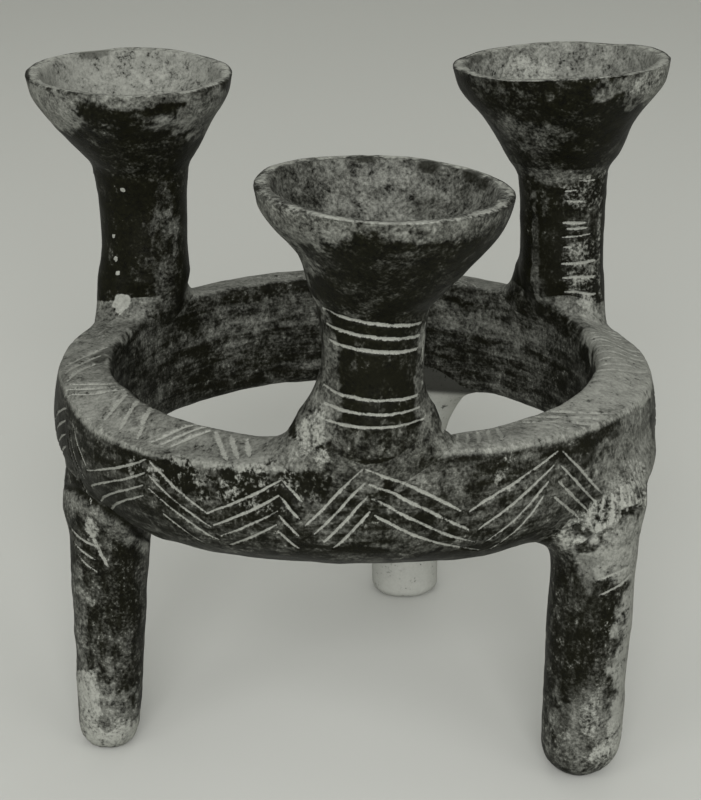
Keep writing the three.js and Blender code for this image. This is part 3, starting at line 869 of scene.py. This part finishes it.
class Marked:
    """Relief and marks of a set of points of the even shape."""

    def __init__(self, points):
        self.points = points
        self.relief = np.zeros(len(points))
        self.marks = {name: np.zeros(len(points)) for name in (*MARKS, "hole")}
        self.ragged = uneven(points, "ragged")
        self.wander = uneven(points, "wander_along"), uneven(points, "wander_down")
        self.filled = share(uneven(points, "filled"), *LOST_RANGE)

    def mark(self, name, spot, value):
        self.marks[name][spot] = np.maximum(self.marks[name][spot], value)

    def sink(self, spot, depth):
        self.relief[spot] = np.minimum(self.relief[spot], -depth)

    def cut(self, near, angle, level, radius, lines):
        """Incises lines into the points listed in near, and fills them with lime."""
        scale = radius * math.pi / 180
        for first, last, count, half_width, white in lines:
            for part in np.linspace(0, 1, count):
                ends = mix(np.array(first, float), np.array(last, float), part)
                self.cut_line(near, angle, level, scale, ends, half_width, white)

    def cut_line(self, near, angle, level, scale, ends, half_width, white):
        along = turned_by(angle, ends[0]) * scale + self.wander[0][near]
        down = level - ends[1] + self.wander[1][near]
        way = np.array([(ends[2] - ends[0]) * scale, ends[3] - ends[1]])
        part = np.clip((along * way[0] + down * way[1]) / (way @ way), 0, 1)
        away = np.hypot(along - part * way[0], down - part * way[1])
        ragged = LINE_RAGGED * self.ragged[near]
        width = half_width * (LINE_MIDDLE - LINE_THINS * np.abs(2 * part - 1) ** 3 + ragged)
        hit = np.flatnonzero(away < LINE_LOOKED * half_width)
        spot, edge = near[hit], away[hit] / width[hit]
        lime = mix(FAINT_LIME, 1, white) * mix(LOST_LIME, 1, self.filled[spot])
        self.mark("lime", spot, np.clip(1 - edge / LIME_FADE, 0, 1) * lime)
        self.sink(spot, GROOVE_DEPTH * mix(FAINT_GROOVE, 1, white) * (1 - smooth(edge, *GROOVE_EDGE)))

    def patch(self, near, angle, level, radius, patches):
        """Adds worn, pale, flaked, dark and broken patches with ragged edges."""
        scale = radius * math.pi / 180
        for name, middle, height, half_length, half_height, amount in patches:
            away = np.hypot(turned_by(angle, middle) * scale / half_length, (level - height) / half_height)
            spot = near[away < PATCH_LOOKED]
            away = away[away < PATCH_LOOKED]
            edge = HOLE_EDGE if name == "hole" else PATCH_EDGE
            seen = smooth(PATCH_REACH - away + RAGGED[name] * self.ragged[spot], 0, edge)
            self.mark(name, spot, amount * seen)

    def finish(self):
        """Relief and marks with what flaked off, the rough paste and the holes, with painted shade in the
        holes.
        """
        rough = uneven(self.points, "paste")
        hole = self.marks.pop("hole")
        relief = self.relief - FLAKE_DEPTH * smooth(self.marks["flaked"], *FLAKED_RANGE) - HOLE_DEPTH * hole
        relief += (self.marks["pale"] + FLAKED_ROUGH * self.marks["flaked"]) * rough
        # Painted shade: each hole is painted dark as well as sunk
        self.mark("dark", slice(None), hole)
        return relief, self.marks


def mark_ring(marked):
    points = marked.points
    radius, height = np.hypot(points[:, 0], points[:, 1]), points[:, 2]
    near = np.flatnonzero(RING.look_up(RING.distance, radius, height) < RING_REACH)
    azimuth = np.degrees(np.arctan2(points[near, 1], points[near, 0]))
    along = RING.look_up(RING.along, radius[near], height[near])
    clear = 1 - band(azimuth, *KEPT_FRONT)
    marked.mark("worn", near, TOP_WEAR * window(along, *TOP_WORN) * clear)
    marked.mark("worn", near, band(along, *RIDGE_WEAR) * clear)
    marked.mark("pale", near, band(along, *RIDGE_PASTE) * window(azimuth, *PASTE_AZIMUTHS))
    marked.cut(near, azimuth, along, RING_RADIUS, ring_lines())
    marked.patch(near, azimuth, along, RING_RADIUS, RING_PATCHES)


def mark_column(marked, column, lines, patches, lowest, highest):
    """Marks a stem or leg; returns which points lie on it, and their directions from its middle."""
    points = marked.points
    inside = (points[:, 2] > lowest) & (points[:, 2] < highest)
    centre = column.centre(points[:, 2])
    x, y = points[:, 0] - centre[0], points[:, 1] - centre[1]
    near = np.flatnonzero(inside & (np.hypot(x, y) < column.widest))
    turn = np.degrees(np.arctan2(y[near], x[near]))
    marked.cut(near, turn, points[near, 2], column.marked_radius, lines)
    marked.patch(near, turn, points[near, 2], column.marked_radius, patches)
    return near, turn


def crack(marked, near, turn, column):
    """The open joint between the left leg and the ring, with painted shade in it, and its worn lower edge.
    """
    points = marked.points[near]
    level = CRACK["level"] + (points[:, :2] - column.place) @ np.array(CRACK["slope"])
    gap = (points[:, 2] - level) / math.hypot(1, *CRACK["slope"]) + uneven(points, "crack")
    shown = 1 - smooth(np.abs(turned_by(turn, CRACK["middle"])), *CRACK["reach"])
    open_joint = shown * band(gap, 0, CRACK["half_width"], 1)
    marked.sink(near, CRACK_DEPTH * open_joint)
    # Painted shade: the open joint is painted dark as well as sunk
    marked.mark("dark", near, open_joint)
    marked.mark("worn", near, shown * band(gap, -CRACK["edge"] / 2, CRACK["edge"], CRACK["wear"]))
    marked.marks["worn"][near] *= 1 - open_joint


def surface(points):
    """Height of the surface above the even shape, and the marks on it, at points of the even shape."""
    marked = Marked(points)
    mark_ring(marked)
    for name, column in STEM_COLUMN.items():
        heights = RING_TOP, column.top + STEM_MARKS_END
        mark_column(marked, column, STEM_LINES[name], STEM_PATCHES[name], *heights)
    for name, column in LEG_COLUMN.items():
        found = mark_column(marked, column, LEG_LINES[name], LEG_PATCHES[name], *LEG_MARKED)
        if name == "left":
            crack(marked, *found, column)
    relief, marks = marked.finish()
    return relief + uneven(points, "clay"), marks


def ring_rise(grid, normals):
    """How far the ring's skin rises to meet the fillets of the stems and legs."""
    points, ways = grid.reshape(-1, 3), normals.reshape(-1, 3)
    rise = np.zeros(len(points))
    for column in [*STEM_COLUMN.values(), *LEG_COLUMN.values()]:
        near = np.flatnonzero(np.hypot(*(points[:, :2] - column.place).T) < RISE_REACH)
        out = np.zeros(len(near))
        for _ in range(RISE_ROUNDS):
            gap = filleted(*column.parts(points[near] + ways[near] * out[:, None]))
            out = np.clip(out - RISE_STRIDE * gap, 0, COVERED)
        rise[near] = np.maximum(rise[near], out * column.shown(points[near, 2]))
    return (rise - TUCK * smooth(rise, *TUCK_RISE)).reshape(grid.shape[:2])


def ring_skin():
    """The ring's outer skin from the inner seam, under it and over it, back to the inner seam."""
    inner_seam, outer_seam = RING.crossing(SEAM, False), RING.crossing(SEAM, True)
    foot = RING.way_at(WALL_FOOT)
    foot += RING.round * (foot < inner_seam)
    outer_seam += RING.round * (outer_seam < inner_seam)
    under = spaced(inner_seam, foot, ROUGH_STEP)
    wall = spaced(foot, outer_seam, FINE_STEP)[1:]
    over = spaced(outer_seam, inner_seam + RING.round, FINE_STEP)[1:]
    section = RING.at(np.concatenate([under, wall, over]))
    grid = np.stack([circle((0, 0), radius, height, RING_COLUMNS) for radius, height in section])
    normals = grid_normals(grid)
    finished, marks = weathered(grid + normals * ring_rise(grid, normals)[..., None])
    return finished, marks, len(under), len(under) + len(wall)


def hidden_rings(skin, profile):
    """Rings of a profile that lies inside the ring, half as fine as its skin."""
    return [skin.ring(settled(circle((0, 0), radius, height, RING_COLUMNS // 2)))
            for radius, height in profile]


def trough_and_cover(material):
    grid, marks, under, seam = ring_skin()

    def part(first, last):
        return grid[first:last], {name: marks[name][first:last] for name in MARKS}

    trough = Skin()
    rings = trough.rows(*part(0, under), every=2) + trough.rows(*part(under, seam))
    channel = placed(CHANNEL_SECTION, CHANNEL_INSIDE, CHANNEL_OUTSIDE, CHANNEL_BOTTOM, SEAM)
    trough.joined(rings + hidden_rings(trough, channel))
    trough.make("ring_trough_skin", "ring_trough", material)

    face, tongue = SEAM + CLEARANCE, SEAM - TONGUE_DEPTH
    inside, outside = CHANNEL_INSIDE + CLEARANCE, CHANNEL_OUTSIDE - CLEARANCE
    hidden = [(RING_INSIDE + SEAM_INSETS[0], face), (inside, face), (inside, tongue), (outside, tongue),
              (outside, face), (RING_RADIUS - SEAM_INSETS[1], face)]
    cover = Skin()
    rings = cover.rows(*part(seam - 1, len(grid)))[:-1] + cover.rows(*part(0, 1))
    cover.joined(rings + hidden_rings(cover, hidden))
    cover.make("ring_cover_skin", "ring_cover", material)


def stem_piece(name, material):
    column = STEM_COLUMN[name]
    pitches = np.arange(SKIRT_STEP, STEEPEST, SKIRT_STEP)[::-1]
    heights = spaced(column.shoulder, column.top + NECK_OVERLAP, FINE_STEP)
    rows = [(column.shoulder, -pitch) for pitch in pitches] + [(height, 0) for height in heights]
    skin = Skin()
    rings = skin.rows(*weathered(column.rays(rows, STEM_COLUMNS)))
    top, place = column.centre(np.array(column.top)), column.place
    socket, bore_floor, spigot = column.top - SOCKET_DEPTH, RING_TOP + STEM_FLOOR, SEAM - SPIGOT_LENGTH
    inside = [(top, SOCKET_RADIUS, column.top + NECK_OVERLAP), (top, SOCKET_RADIUS, socket),
              (place, STEM_BORE, socket), (place, STEM_BORE, bore_floor),
              (place, STEM_THROAT, bore_floor), (place, STEM_THROAT, spigot),
              (place, SPIGOT_RADIUS, spigot), (place, SPIGOT_RADIUS, SEAM + SPIGOT_ROOT)]
    skin.joined(rings + [skin.ring(circle(*size, STEM_COLUMNS)) for size in inside])
    skin.make(f"{name}_stem_skin", f"{name}_stem", material)


def leg_piece(name, material):
    column = LEG_COLUMN[name]
    foot = column.rounding * (1 - np.cos(np.linspace(0, math.pi / 2, FOOT_ROWS)))
    heights = np.concatenate([foot, spaced(column.rounding, column.shoulder, LEG_STEP)[1:]])
    pitches = np.arange(LEG_SKIRT_STEP, STEEPEST, LEG_SKIRT_STEP)
    rows = [(height, 0) for height in heights] + [(column.shoulder, pitch) for pitch in pitches]
    even = column.rays(rows, LEG_COLUMNS)
    burnished = {"dark": smooth(even[..., 2], *REAR_COLLAR)} if name == "rear" else None
    grid, marks = weathered(even, burnished)
    skin = Skin()
    rings = skin.rows(grid, marks)
    tenon_top = CHANNEL_BOTTOM + TENON_RISE
    rings += [skin.ring(circle(column.place, TENON_RADIUS, height, LEG_COLUMNS))
              for height in (RING_BOTTOM + TENON_ROOT, tenon_top)]
    skin.joined(rings, closed=False)
    skin.cap(rings[0], (*grid[0].mean(0)[:2], 0), above=False)
    skin.cap(rings[-1], (*column.place, tenon_top), above=True)
    skin.make(f"{name}_leg_skin", f"{name}_leg", material)


def curve_through(points, step):
    """A smooth curve through points, in steps of about the given length."""
    points = np.array(points, float)
    padded = np.vstack([2 * points[0] - points[1], points, 2 * points[-1] - points[-2]])
    fine = []
    for before, start, end, after in zip(padded, padded[1:], padded[2:], padded[3:]):
        t = np.linspace(0, 1, CURVE_POINTS, endpoint=False)[:, None]
        fine.append(0.5 * (2 * start + (end - before) * t
                           + (2 * before - 5 * start + 4 * end - after) * t ** 2
                           + (3 * start - before - 3 * end + after) * t ** 3))
    fine = np.vstack([*fine, points[-1:]])
    way = np.concatenate([[0], np.cumsum(np.hypot(*np.diff(fine, axis=0).T))])
    even = spaced(0, way[-1], step)
    return np.stack([np.interp(even, way, fine[:, k]) for k in (0, 1)], 1)


def bowl_marks(name, grid, profile, turn):
    """Wear outside, in the hollow and on the lip of a bowl, for each row and column of its grid."""
    shape = grid.shape[:2]
    crest = int(np.argmax(profile[:, 1]))
    marked = Marked(grid.reshape(-1, 3))
    row, column = np.indices(shape).reshape(2, -1)
    angle, level = np.degrees(turn)[column], profile[row, 1] / BOWLS[name]["height"]
    for side, patches in ((row <= crest, BOWL_PATCHES[name]), (row > crest, BOWL_CHIPS[name])):
        near = np.flatnonzero(side)
        marked.patch(near, angle[near], level[near], ONE_PER_DEGREE, patches)
    marked.mark("worn", slice(None), BOWLS[name]["hollow_wear"] * smooth(row - crest, *HOLLOW_ROWS))
    lip = band(row - crest, *LIP_ROWS, LIP_WEAR) * np.clip(LIP_UNBROKEN + marked.ragged, 0, 1)
    marked.mark("pale", slice(None), lip)
    return {label: marked.marks[label].reshape(shape) for label in ("worn", "pale", "dark")}


def bowl_grid(bowl, stem, profile):
    """A profile turned about the bowl's axis, with its dents and its wavy rim, tilted on the stem."""
    turn = turns(BOWL_COLUMNS)
    radius, height = np.array(profile)[:, :1], np.array(profile)[:, 1:]
    level = height / bowl["height"]
    radius = radius * np.ones(len(turn))
    for middle, at, half_width, half_height, depth in bowl["dents"]:
        away = turned_by(np.degrees(turn), middle)
        radius = radius - band(away, 0, half_width, depth) * bump((level - at) / half_height)
    lift = around(np.degrees(turn), bowl["wave"], RIM_SOFTNESS) * smooth(level, 0, 1)
    over = smooth(level, 0, SHIFT_LEVEL)
    grid = np.stack([radius * np.cos(turn) + bowl["shift"][0] * over,
                     radius * np.sin(turn) + bowl["shift"][1] * over, height + lift], -1)
    upright = Vector((-bowl["slope"][0], -bowl["slope"][1], 1)).normalized()
    tilt = np.array(Vector((0, 0, 1)).rotation_difference(upright).to_matrix())
    return grid @ tilt.T + (*(stem.place + stem.lean), stem.top)


def bowl_piece(name, material):
    bowl, stem = BOWLS[name], STEM_COLUMN[name]
    rim, side = bowl["rim"] - RIM_INSET, bowl["height"] - LIP
    foot = [(stem.neck - inset, height) for inset, height in BOWL_TUCK]
    outside = [(mix(stem.neck, rim, u), v * side) for u, v in BOWL_OUTSIDE]
    lip = [(rim - inset, bowl["height"] - down) for inset, down in LIP_CURVE]
    hollow = [(u * (rim - BOWL_WALL), mix(BOWL_FLOOR, side, v)) for u, v in BOWL_HOLLOW]
    drain = (BOWL_DRAIN + DRAIN_EDGE[0], BOWL_FLOOR - DRAIN_EDGE[1])
    seen = curve_through([*foot, *outside, *lip, *hollow, drain], BOWL_STEP)
    hidden = [(BOWL_DRAIN, BOWL_FLOOR - DRAIN_EDGE[0]), (BOWL_DRAIN, -BOSS_LENGTH),
              (BOSS_RADIUS, -BOSS_LENGTH), (BOSS_RADIUS, -BOSS_ROOT)]
    grid = bowl_grid(bowl, stem, seen)
    skin = Skin()
    rings = skin.rows(*weathered(grid, bowl_marks(name, grid, seen, turns(BOWL_COLUMNS))))
    skin.joined(rings + [skin.ring(row) for row in bowl_grid(bowl, stem, hidden)])
    skin.make(f"{name}_bowl_skin", f"{name}_bowl", material)


class ClaySettings(bpy.types.PropertyGroup):
    """Colours of the fired clay."""

    dark: FloatVectorProperty(
        name="Dark clay", description="Burnished olive-black surface", subtype="COLOR",
        default=(0.0045, 0.0045, 0.002), min=0, max=1)
    worn: FloatVectorProperty(
        name="Worn clay", description="Grey surface where the burnish is worn off", subtype="COLOR",
        default=(0.19, 0.193, 0.172), min=0, max=1)
    lime: FloatVectorProperty(
        name="Lime", description="White lime in the incised lines", subtype="COLOR",
        default=(0.265, 0.27, 0.24), min=0, max=1)
    bare: FloatVectorProperty(
        name="Bare clay", description="Pale clay of the leg that has lost its burnish", subtype="COLOR",
        default=(0.34, 0.345, 0.316), min=0, max=1)
    pale: FloatVectorProperty(
        name="Pale clay", description="Pale crust, and the paste that mends the joints", subtype="COLOR",
        default=(0.27, 0.275, 0.245), min=0, max=1)


class StageSettings(bpy.types.PropertyGroup):
    """Floor, light and camera."""

    floor: FloatVectorProperty(
        name="Floor", description="Pale floor and backdrop", subtype="COLOR",
        default=(0.485, 0.49, 0.463), min=0, max=1)
    camera_place: FloatVectorProperty(
        name="Camera place", description="Camera, counted from the ring's axis on the floor",
        subtype="TRANSLATION", unit="LENGTH", default=(0.0083, -0.8348, 0.4403))
    camera_pitch: FloatProperty(
        name="Camera pitch", description="How far the camera looks down", subtype="ANGLE",
        default=math.radians(20.54))
    camera_yaw: FloatProperty(
        name="Camera yaw", description="Turn of the camera to its left", subtype="ANGLE",
        default=math.radians(0.70))
    camera_roll: FloatProperty(
        name="Camera roll", description="Tilt of the camera about its own axis", subtype="ANGLE",
        default=math.radians(-0.21))
    lens: FloatProperty(
        name="Lens", description="Focal length on a 36 mm frame", subtype="DISTANCE_CAMERA",
        default=103.83)


class Nodes:
    """Builds a node tree, one line for each node."""

    def __init__(self, tree):
        self.tree = tree

    def add(self, kind, settings=None, **inputs):
        node = self.tree.nodes.new(kind)
        for name, value in (settings or {}).items():
            setattr(node, name, value)
        for name, value in inputs.items():
            self.feed(node.inputs[name.replace("_", " ")], value)
        return node

    def feed(self, socket, value):
        if isinstance(value, bpy.types.NodeSocket):
            self.tree.links.new(value, socket)
        elif isinstance(value, (tuple, list)) and len(value) == 3 and socket.type == "RGBA":
            socket.default_value = (*value, 1)
        else:
            socket.default_value = value

    def noise(self, place, scale, detail, roughness, distortion):
        return self.add("ShaderNodeTexNoise", Vector=place, Scale=scale, Detail=detail,
                        Roughness=roughness, Distortion=distortion).outputs["Fac"]

    def ramp(self, value, low, high):
        """A soft step from 0 at low to 1 at high."""
        node = self.add("ShaderNodeMapRange", {"interpolation_type": "SMOOTHSTEP"}, Value=value)
        node.inputs["From Min"].default_value = low
        node.inputs["From Max"].default_value = high
        return node.outputs["Result"]

    def math(self, operation, *values, kind="ShaderNodeMath"):
        node = self.add(kind, {"operation": operation})
        for socket, value in zip(node.inputs, values):
            self.feed(socket, value)
        return node.outputs[0]

    def product(self, first, second):
        return self.math("MULTIPLY", first, second)

    def weighed(self, *parts):
        """Sum of (value, weight) parts; a bare number is added as it is."""
        total = None
        for part in parts:
            value = self.product(*part) if isinstance(part, tuple) else part
            total = value if total is None else self.math("ADD", total, value)
        return total

    def mix(self, factor, first, second, blend="MIX"):
        node = self.add("ShaderNodeMix", {"data_type": "RGBA", "blend_type": blend}, Factor=factor)
        self.feed(node.inputs[6], first)
        self.feed(node.inputs[7], second)
        return node.outputs[2]


COLOUR, VALUE, VECTOR = "NodeSocketColor", "NodeSocketFloat", "NodeSocketVector"


def new_group(name, inputs, outputs):
    """A shader node group with named sockets; returns it with its Nodes and its input sockets."""
    group = bpy.data.node_groups.new(name, "ShaderNodeTree")
    for label, kind in inputs.items():
        group.interface.new_socket(label, in_out="INPUT", socket_type=kind)
    for label, kind in outputs.items():
        group.interface.new_socket(label, in_out="OUTPUT", socket_type=kind)
    return group, Nodes(group), group.nodes.new("NodeGroupInput").outputs


def finish_group(group, values):
    end = group.nodes.new("NodeGroupOutput")
    for label, socket in values.items():
        group.links.new(socket, end.inputs[label])


def aged_clay_group():
    """Colour, roughness and height of hand-smoothed clay that is burnished, pitted and worn."""
    inputs = {"Place": VECTOR, "Streaks": VECTOR, **dict.fromkeys(("Dark", "Worn", "Lime", "Pale"), COLOUR),
              **dict.fromkeys(("Wear", "Speckle", "Grain"), VALUE),
              **dict.fromkeys((f"{mark.capitalize()} mark" for mark in MARKS), VALUE)}
    group, build, given = new_group(
        "aged_clay", inputs, {"Color": COLOUR, "Roughness": VALUE, "Height": VALUE})
    clouds, mottle, fine, grain = (build.noise(given["Place"], *size) for size in CLAY_NOISE.values())
    stretched = build.math("MULTIPLY", given["Place"], given["Streaks"], kind="ShaderNodeVectorMath")
    streaks = build.noise(stretched, *STREAK_NOISE)

    # Wear thins the burnish; it breaks up along mottles and streaks, and into islands where it flakes
    rubbed = build.weighed((given["Worn mark"], -0.8), 1.0)
    brushed = build.product(build.weighed(streaks, -0.5), rubbed)
    islands = build.product(build.weighed((fine, 0.6), (mottle, 0.9), -0.79), given["Flaked mark"])
    wear = build.weighed(given["Wear"], (given["Worn mark"], 0.8), (islands, 5.0),
                         (clouds, 0.6), (mottle, 0.85), (brushed, 1.2), (fine, 0.75), -1.09)
    worn = build.ramp(wear, *LAYERS["worn"])
    base = build.mix(worn, given["Dark"], given["Worn"])

    # Light flecks where the clay is speckled, and dark pits
    flecks = build.weighed((mottle, 1.0), (fine, 1.3), (given["Speckle"], 0.5))
    speckle = build.ramp(flecks, *LAYERS["speckle"])
    base = build.mix(build.product(speckle, STRENGTHS["speckle"]), base, given["Worn"])
    pits = build.ramp(build.weighed((mottle, -1.0), (fine, -1.2)), *LAYERS["pits"])
    base = build.mix(build.product(pits, STRENGTHS["pits"]), base, given["Dark"])

    # Grain of the surface
    tone = build.ramp(build.weighed((fine, 0.55), (mottle, 0.45)), *LAYERS["tone"])
    rough_grain = build.product(given["Grain"], build.weighed((worn, -1.1), 1.7))
    tone = build.weighed((build.weighed(tone, -0.5), rough_grain), 1.0)
    shade = build.add("ShaderNodeCombineColor", Red=tone, Green=tone, Blue=tone).outputs[0]
    base = build.mix(1.0, base, shade, "MULTIPLY")

    # Pale crust and paste, lime in the lines, and the dark mark: dark patches of clay, and painted shade in
    # the holes and the open crack
    pasted = build.weighed((given["Pale mark"], 1.0), (fine, 1.1), (mottle, 1.0), -1.05)
    pale = build.ramp(pasted, *LAYERS["pale"])
    crust = build.mix(build.ramp(build.weighed((mottle, 0.6), (fine, 0.6)), *LAYERS["crust"]),
                      given["Worn"], given["Pale"])
    base = build.mix(pale, base, crust)
    limed = build.weighed((given["Lime mark"], 1.0), (grain, 0.5), (fine, 0.45), (mottle, 0.5), -0.73)
    lime = build.ramp(limed, *LAYERS["lime"])
    chalk = build.mix(build.ramp(build.weighed((fine, 0.5), (grain, 0.5)), *LAYERS["chalk"]),
                      given["Worn"], given["Lime"])
    base = build.mix(build.product(given["Dark mark"], STRENGTHS["dark"]), base, given["Dark"])
    base = build.mix(build.product(lime, STRENGTHS["lime"]), base, chalk)

    rough = build.weighed(0.44, (worn, 0.34), (pale, 0.12), (lime, 0.15), (fine, 0.08))
    height = build.weighed((fine, 0.8), (mottle, 0.6), (pits, -0.8), (worn, -0.35))
    finish_group(group, {"Color": base, "Roughness": rough, "Height": height})
    return group


def clay_material(clay, kind, **changed):
    """Fired clay: the shared ageing with the colours, wear, flecks, grain and streaks of its kind."""
    group = bpy.data.node_groups.get("aged_clay") or aged_clay_group()
    material = bpy.data.materials.new(f"{kind}_clay")
    material.use_nodes = True
    tree = material.node_tree
    shader = tree.nodes["Principled BSDF"]
    shader.inputs["Specular IOR Level"].default_value = CLAY_SHEEN
    build = Nodes(tree)
    aged = build.add("ShaderNodeGroup", {"node_tree": group})
    colours = {"Dark": clay.dark, "Worn": clay.worn, "Lime": clay.lime, "Pale": clay.pale, **changed}
    values = {"Place": build.add("ShaderNodeNewGeometry").outputs["Position"], **AGES[kind],
              **{label: tuple(colour) for label, colour in colours.items()}}
    for mark in MARKS:
        named = build.add("ShaderNodeAttribute", {"attribute_name": mark})
        values[f"{mark.capitalize()} mark"] = named.outputs["Fac"]
    for label, value in values.items():
        build.feed(aged.inputs[label], value)
    bump_map = build.add("ShaderNodeBump", Height=aged.outputs["Height"], Strength=BUMP_STRENGTH,
                         Distance=BUMP_HEIGHT)
    for socket, value in (("Base Color", aged.outputs["Color"]), ("Roughness", aged.outputs["Roughness"]),
                          ("Normal", bump_map.outputs["Normal"])):
        build.feed(shader.inputs[socket], value)
    return material


class RINGVESSEL_OT_ring(bpy.types.Operator):
    """Builds the hollow ring: its trough and the strip that covers it"""

    bl_idname = "ring_vessel.ring"
    bl_label = "Ring"

    def execute(self, context):
        trough_and_cover(clay_material(context.scene.ring_clay, "ring"))
        return {"FINISHED"}


class RINGVESSEL_OT_stems(bpy.types.Operator):
    """Builds the three hollow stems"""

    bl_idname = "ring_vessel.stems"
    bl_label = "Stems"

    def execute(self, context):
        material = clay_material(context.scene.ring_clay, "stem")
        for name in STEMS:
            stem_piece(name, material)
        return {"FINISHED"}


class RINGVESSEL_OT_bowls(bpy.types.Operator):
    """Builds the three bowls"""

    bl_idname = "ring_vessel.bowls"
    bl_label = "Bowls"

    def execute(self, context):
        material = clay_material(context.scene.ring_clay, "bowl")
        for name in BOWLS:
            bowl_piece(name, material)
        return {"FINISHED"}


class RINGVESSEL_OT_legs(bpy.types.Operator):
    """Builds the three legs"""

    bl_idname = "ring_vessel.legs"
    bl_label = "Legs"

    def execute(self, context):
        clay = context.scene.ring_clay
        dark = clay_material(clay, "leg")
        pale = clay_material(clay, "rear_leg", Worn=clay.bare)
        for name in LEGS:
            slot, material = ("pale_clay", pale) if name == "rear" else ("dark_clay", dark)
            leg_piece(name, material)
        return {"FINISHED"}


class RINGVESSEL_OT_stage(bpy.types.Operator):
    """Lays the pale floor, hangs the soft lights and sets the camera"""

    bl_idname = "ring_vessel.stage"
    bl_label = "Stage"

    def execute(self, context):
        stage = context.scene.ring_stage
        self.floor(tuple(stage.floor))
        self.lights(context, tuple(stage.floor))
        self.camera(context, stage)
        context.scene.view_settings.view_transform = "Standard"
        return {"FINISHED"}

    def floor(self, colour):
        """A sheet of paper that lies in front, curves up far behind and rises as a wall."""
        curve = [(PAPER_BACK + PAPER_BEND * math.sin(a), PAPER_BEND * (1 - math.cos(a)))
                 for a in np.linspace(0, math.pi / 2, PAPER_ROWS)]
        line = [(PAPER_FRONT, 0), *curve, (PAPER_BACK + PAPER_BEND, PAPER_TOP)]
        verts = [(side * PAPER_HALF_WIDTH, y, z) for y, z in line for side in (-1, 1)]
        faces = [(2 * i, 2 * i + 1, 2 * i + 3, 2 * i + 2) for i in range(len(line) - 1)]
        mesh = bpy.data.meshes.new("floor")
        mesh.from_pydata(verts, [], faces)
        mesh.shade_smooth()
        floor = bpy.data.objects.new("floor", mesh)
        bpy.context.collection.objects.link(floor)
        material = bpy.data.materials.new("pale_paper")
        material.use_nodes = True
        shader = material.node_tree.nodes["Principled BSDF"]
        shader.inputs["Base Color"].default_value = (*colour, 1)
        shader.inputs["Roughness"].default_value = PAPER_ROUGHNESS
        shader.inputs["Specular IOR Level"].default_value = PAPER_SHEEN
        mesh.materials.append(material)

    def lights(self, context, colour):
        for name, (place, power, size) in LAMPS.items():
            light = bpy.data.lights.new(name, "AREA")
            light.energy = power
            light.size = size
            lamp = bpy.data.objects.new(name, light)
            lamp.location = place
            aim = Vector(LAMPS_AIM) - Vector(place)
            lamp.rotation_euler = aim.to_track_quat("-Z", "Y").to_euler()
            context.collection.objects.link(lamp)
        world = bpy.data.worlds.new("studio")
        world.use_nodes = True
        background = world.node_tree.nodes["Background"]
        background.inputs["Color"].default_value = (*colour, 1)
        background.inputs["Strength"].default_value = SKY_STRENGTH
        context.scene.world = world

    def camera(self, context, stage):
        lens = bpy.data.cameras.new("camera")
        lens.lens = stage.lens
        camera = bpy.data.objects.new("camera", lens)
        camera.matrix_world = (
            Matrix.Translation(Vector((*RING_AXIS * MM, 0)) + Vector(stage.camera_place))
            @ Matrix.Rotation(stage.camera_yaw, 4, "Z")
            @ Matrix.Rotation(math.pi / 2 - stage.camera_pitch, 4, "X")
            @ Matrix.Rotation(stage.camera_roll, 4, "Z"))
        context.collection.objects.link(camera)
        context.scene.camera = camera


class RINGVESSEL_PT_panel(bpy.types.Panel):
    """Lists what builds the ring vessel"""

    bl_label = "Ring vessel"
    bl_idname = "RINGVESSEL_PT_panel"
    bl_space_type = "VIEW_3D"
    bl_region_type = "UI"
    bl_category = "Ring vessel"

    def draw(self, context):
        for settings in (context.scene.ring_clay, context.scene.ring_stage):
            for name in settings.__annotations__:
                self.layout.prop(settings, name)
        for operator in OPERATORS:
            self.layout.operator(operator.bl_idname)


OPERATORS = (RINGVESSEL_OT_ring, RINGVESSEL_OT_stems, RINGVESSEL_OT_bowls, RINGVESSEL_OT_legs,
             RINGVESSEL_OT_stage)
CLASSES = (ClaySettings, StageSettings, *OPERATORS, RINGVESSEL_PT_panel)


def register():
    for item in CLASSES:
        bpy.utils.register_class(item)
    bpy.types.Scene.ring_clay = PointerProperty(type=ClaySettings)
    bpy.types.Scene.ring_stage = PointerProperty(type=StageSettings)


def unregister():
    del bpy.types.Scene.ring_stage
    del bpy.types.Scene.ring_clay
    for item in reversed(CLASSES):
        bpy.utils.unregister_class(item)


def main():
    register()
    bpy.ops.ring_vessel.ring()
    bpy.ops.ring_vessel.stems()
    bpy.ops.ring_vessel.bowls()
    bpy.ops.ring_vessel.legs()
    bpy.ops.ring_vessel.stage()


if __name__ == "__main__":
    main()
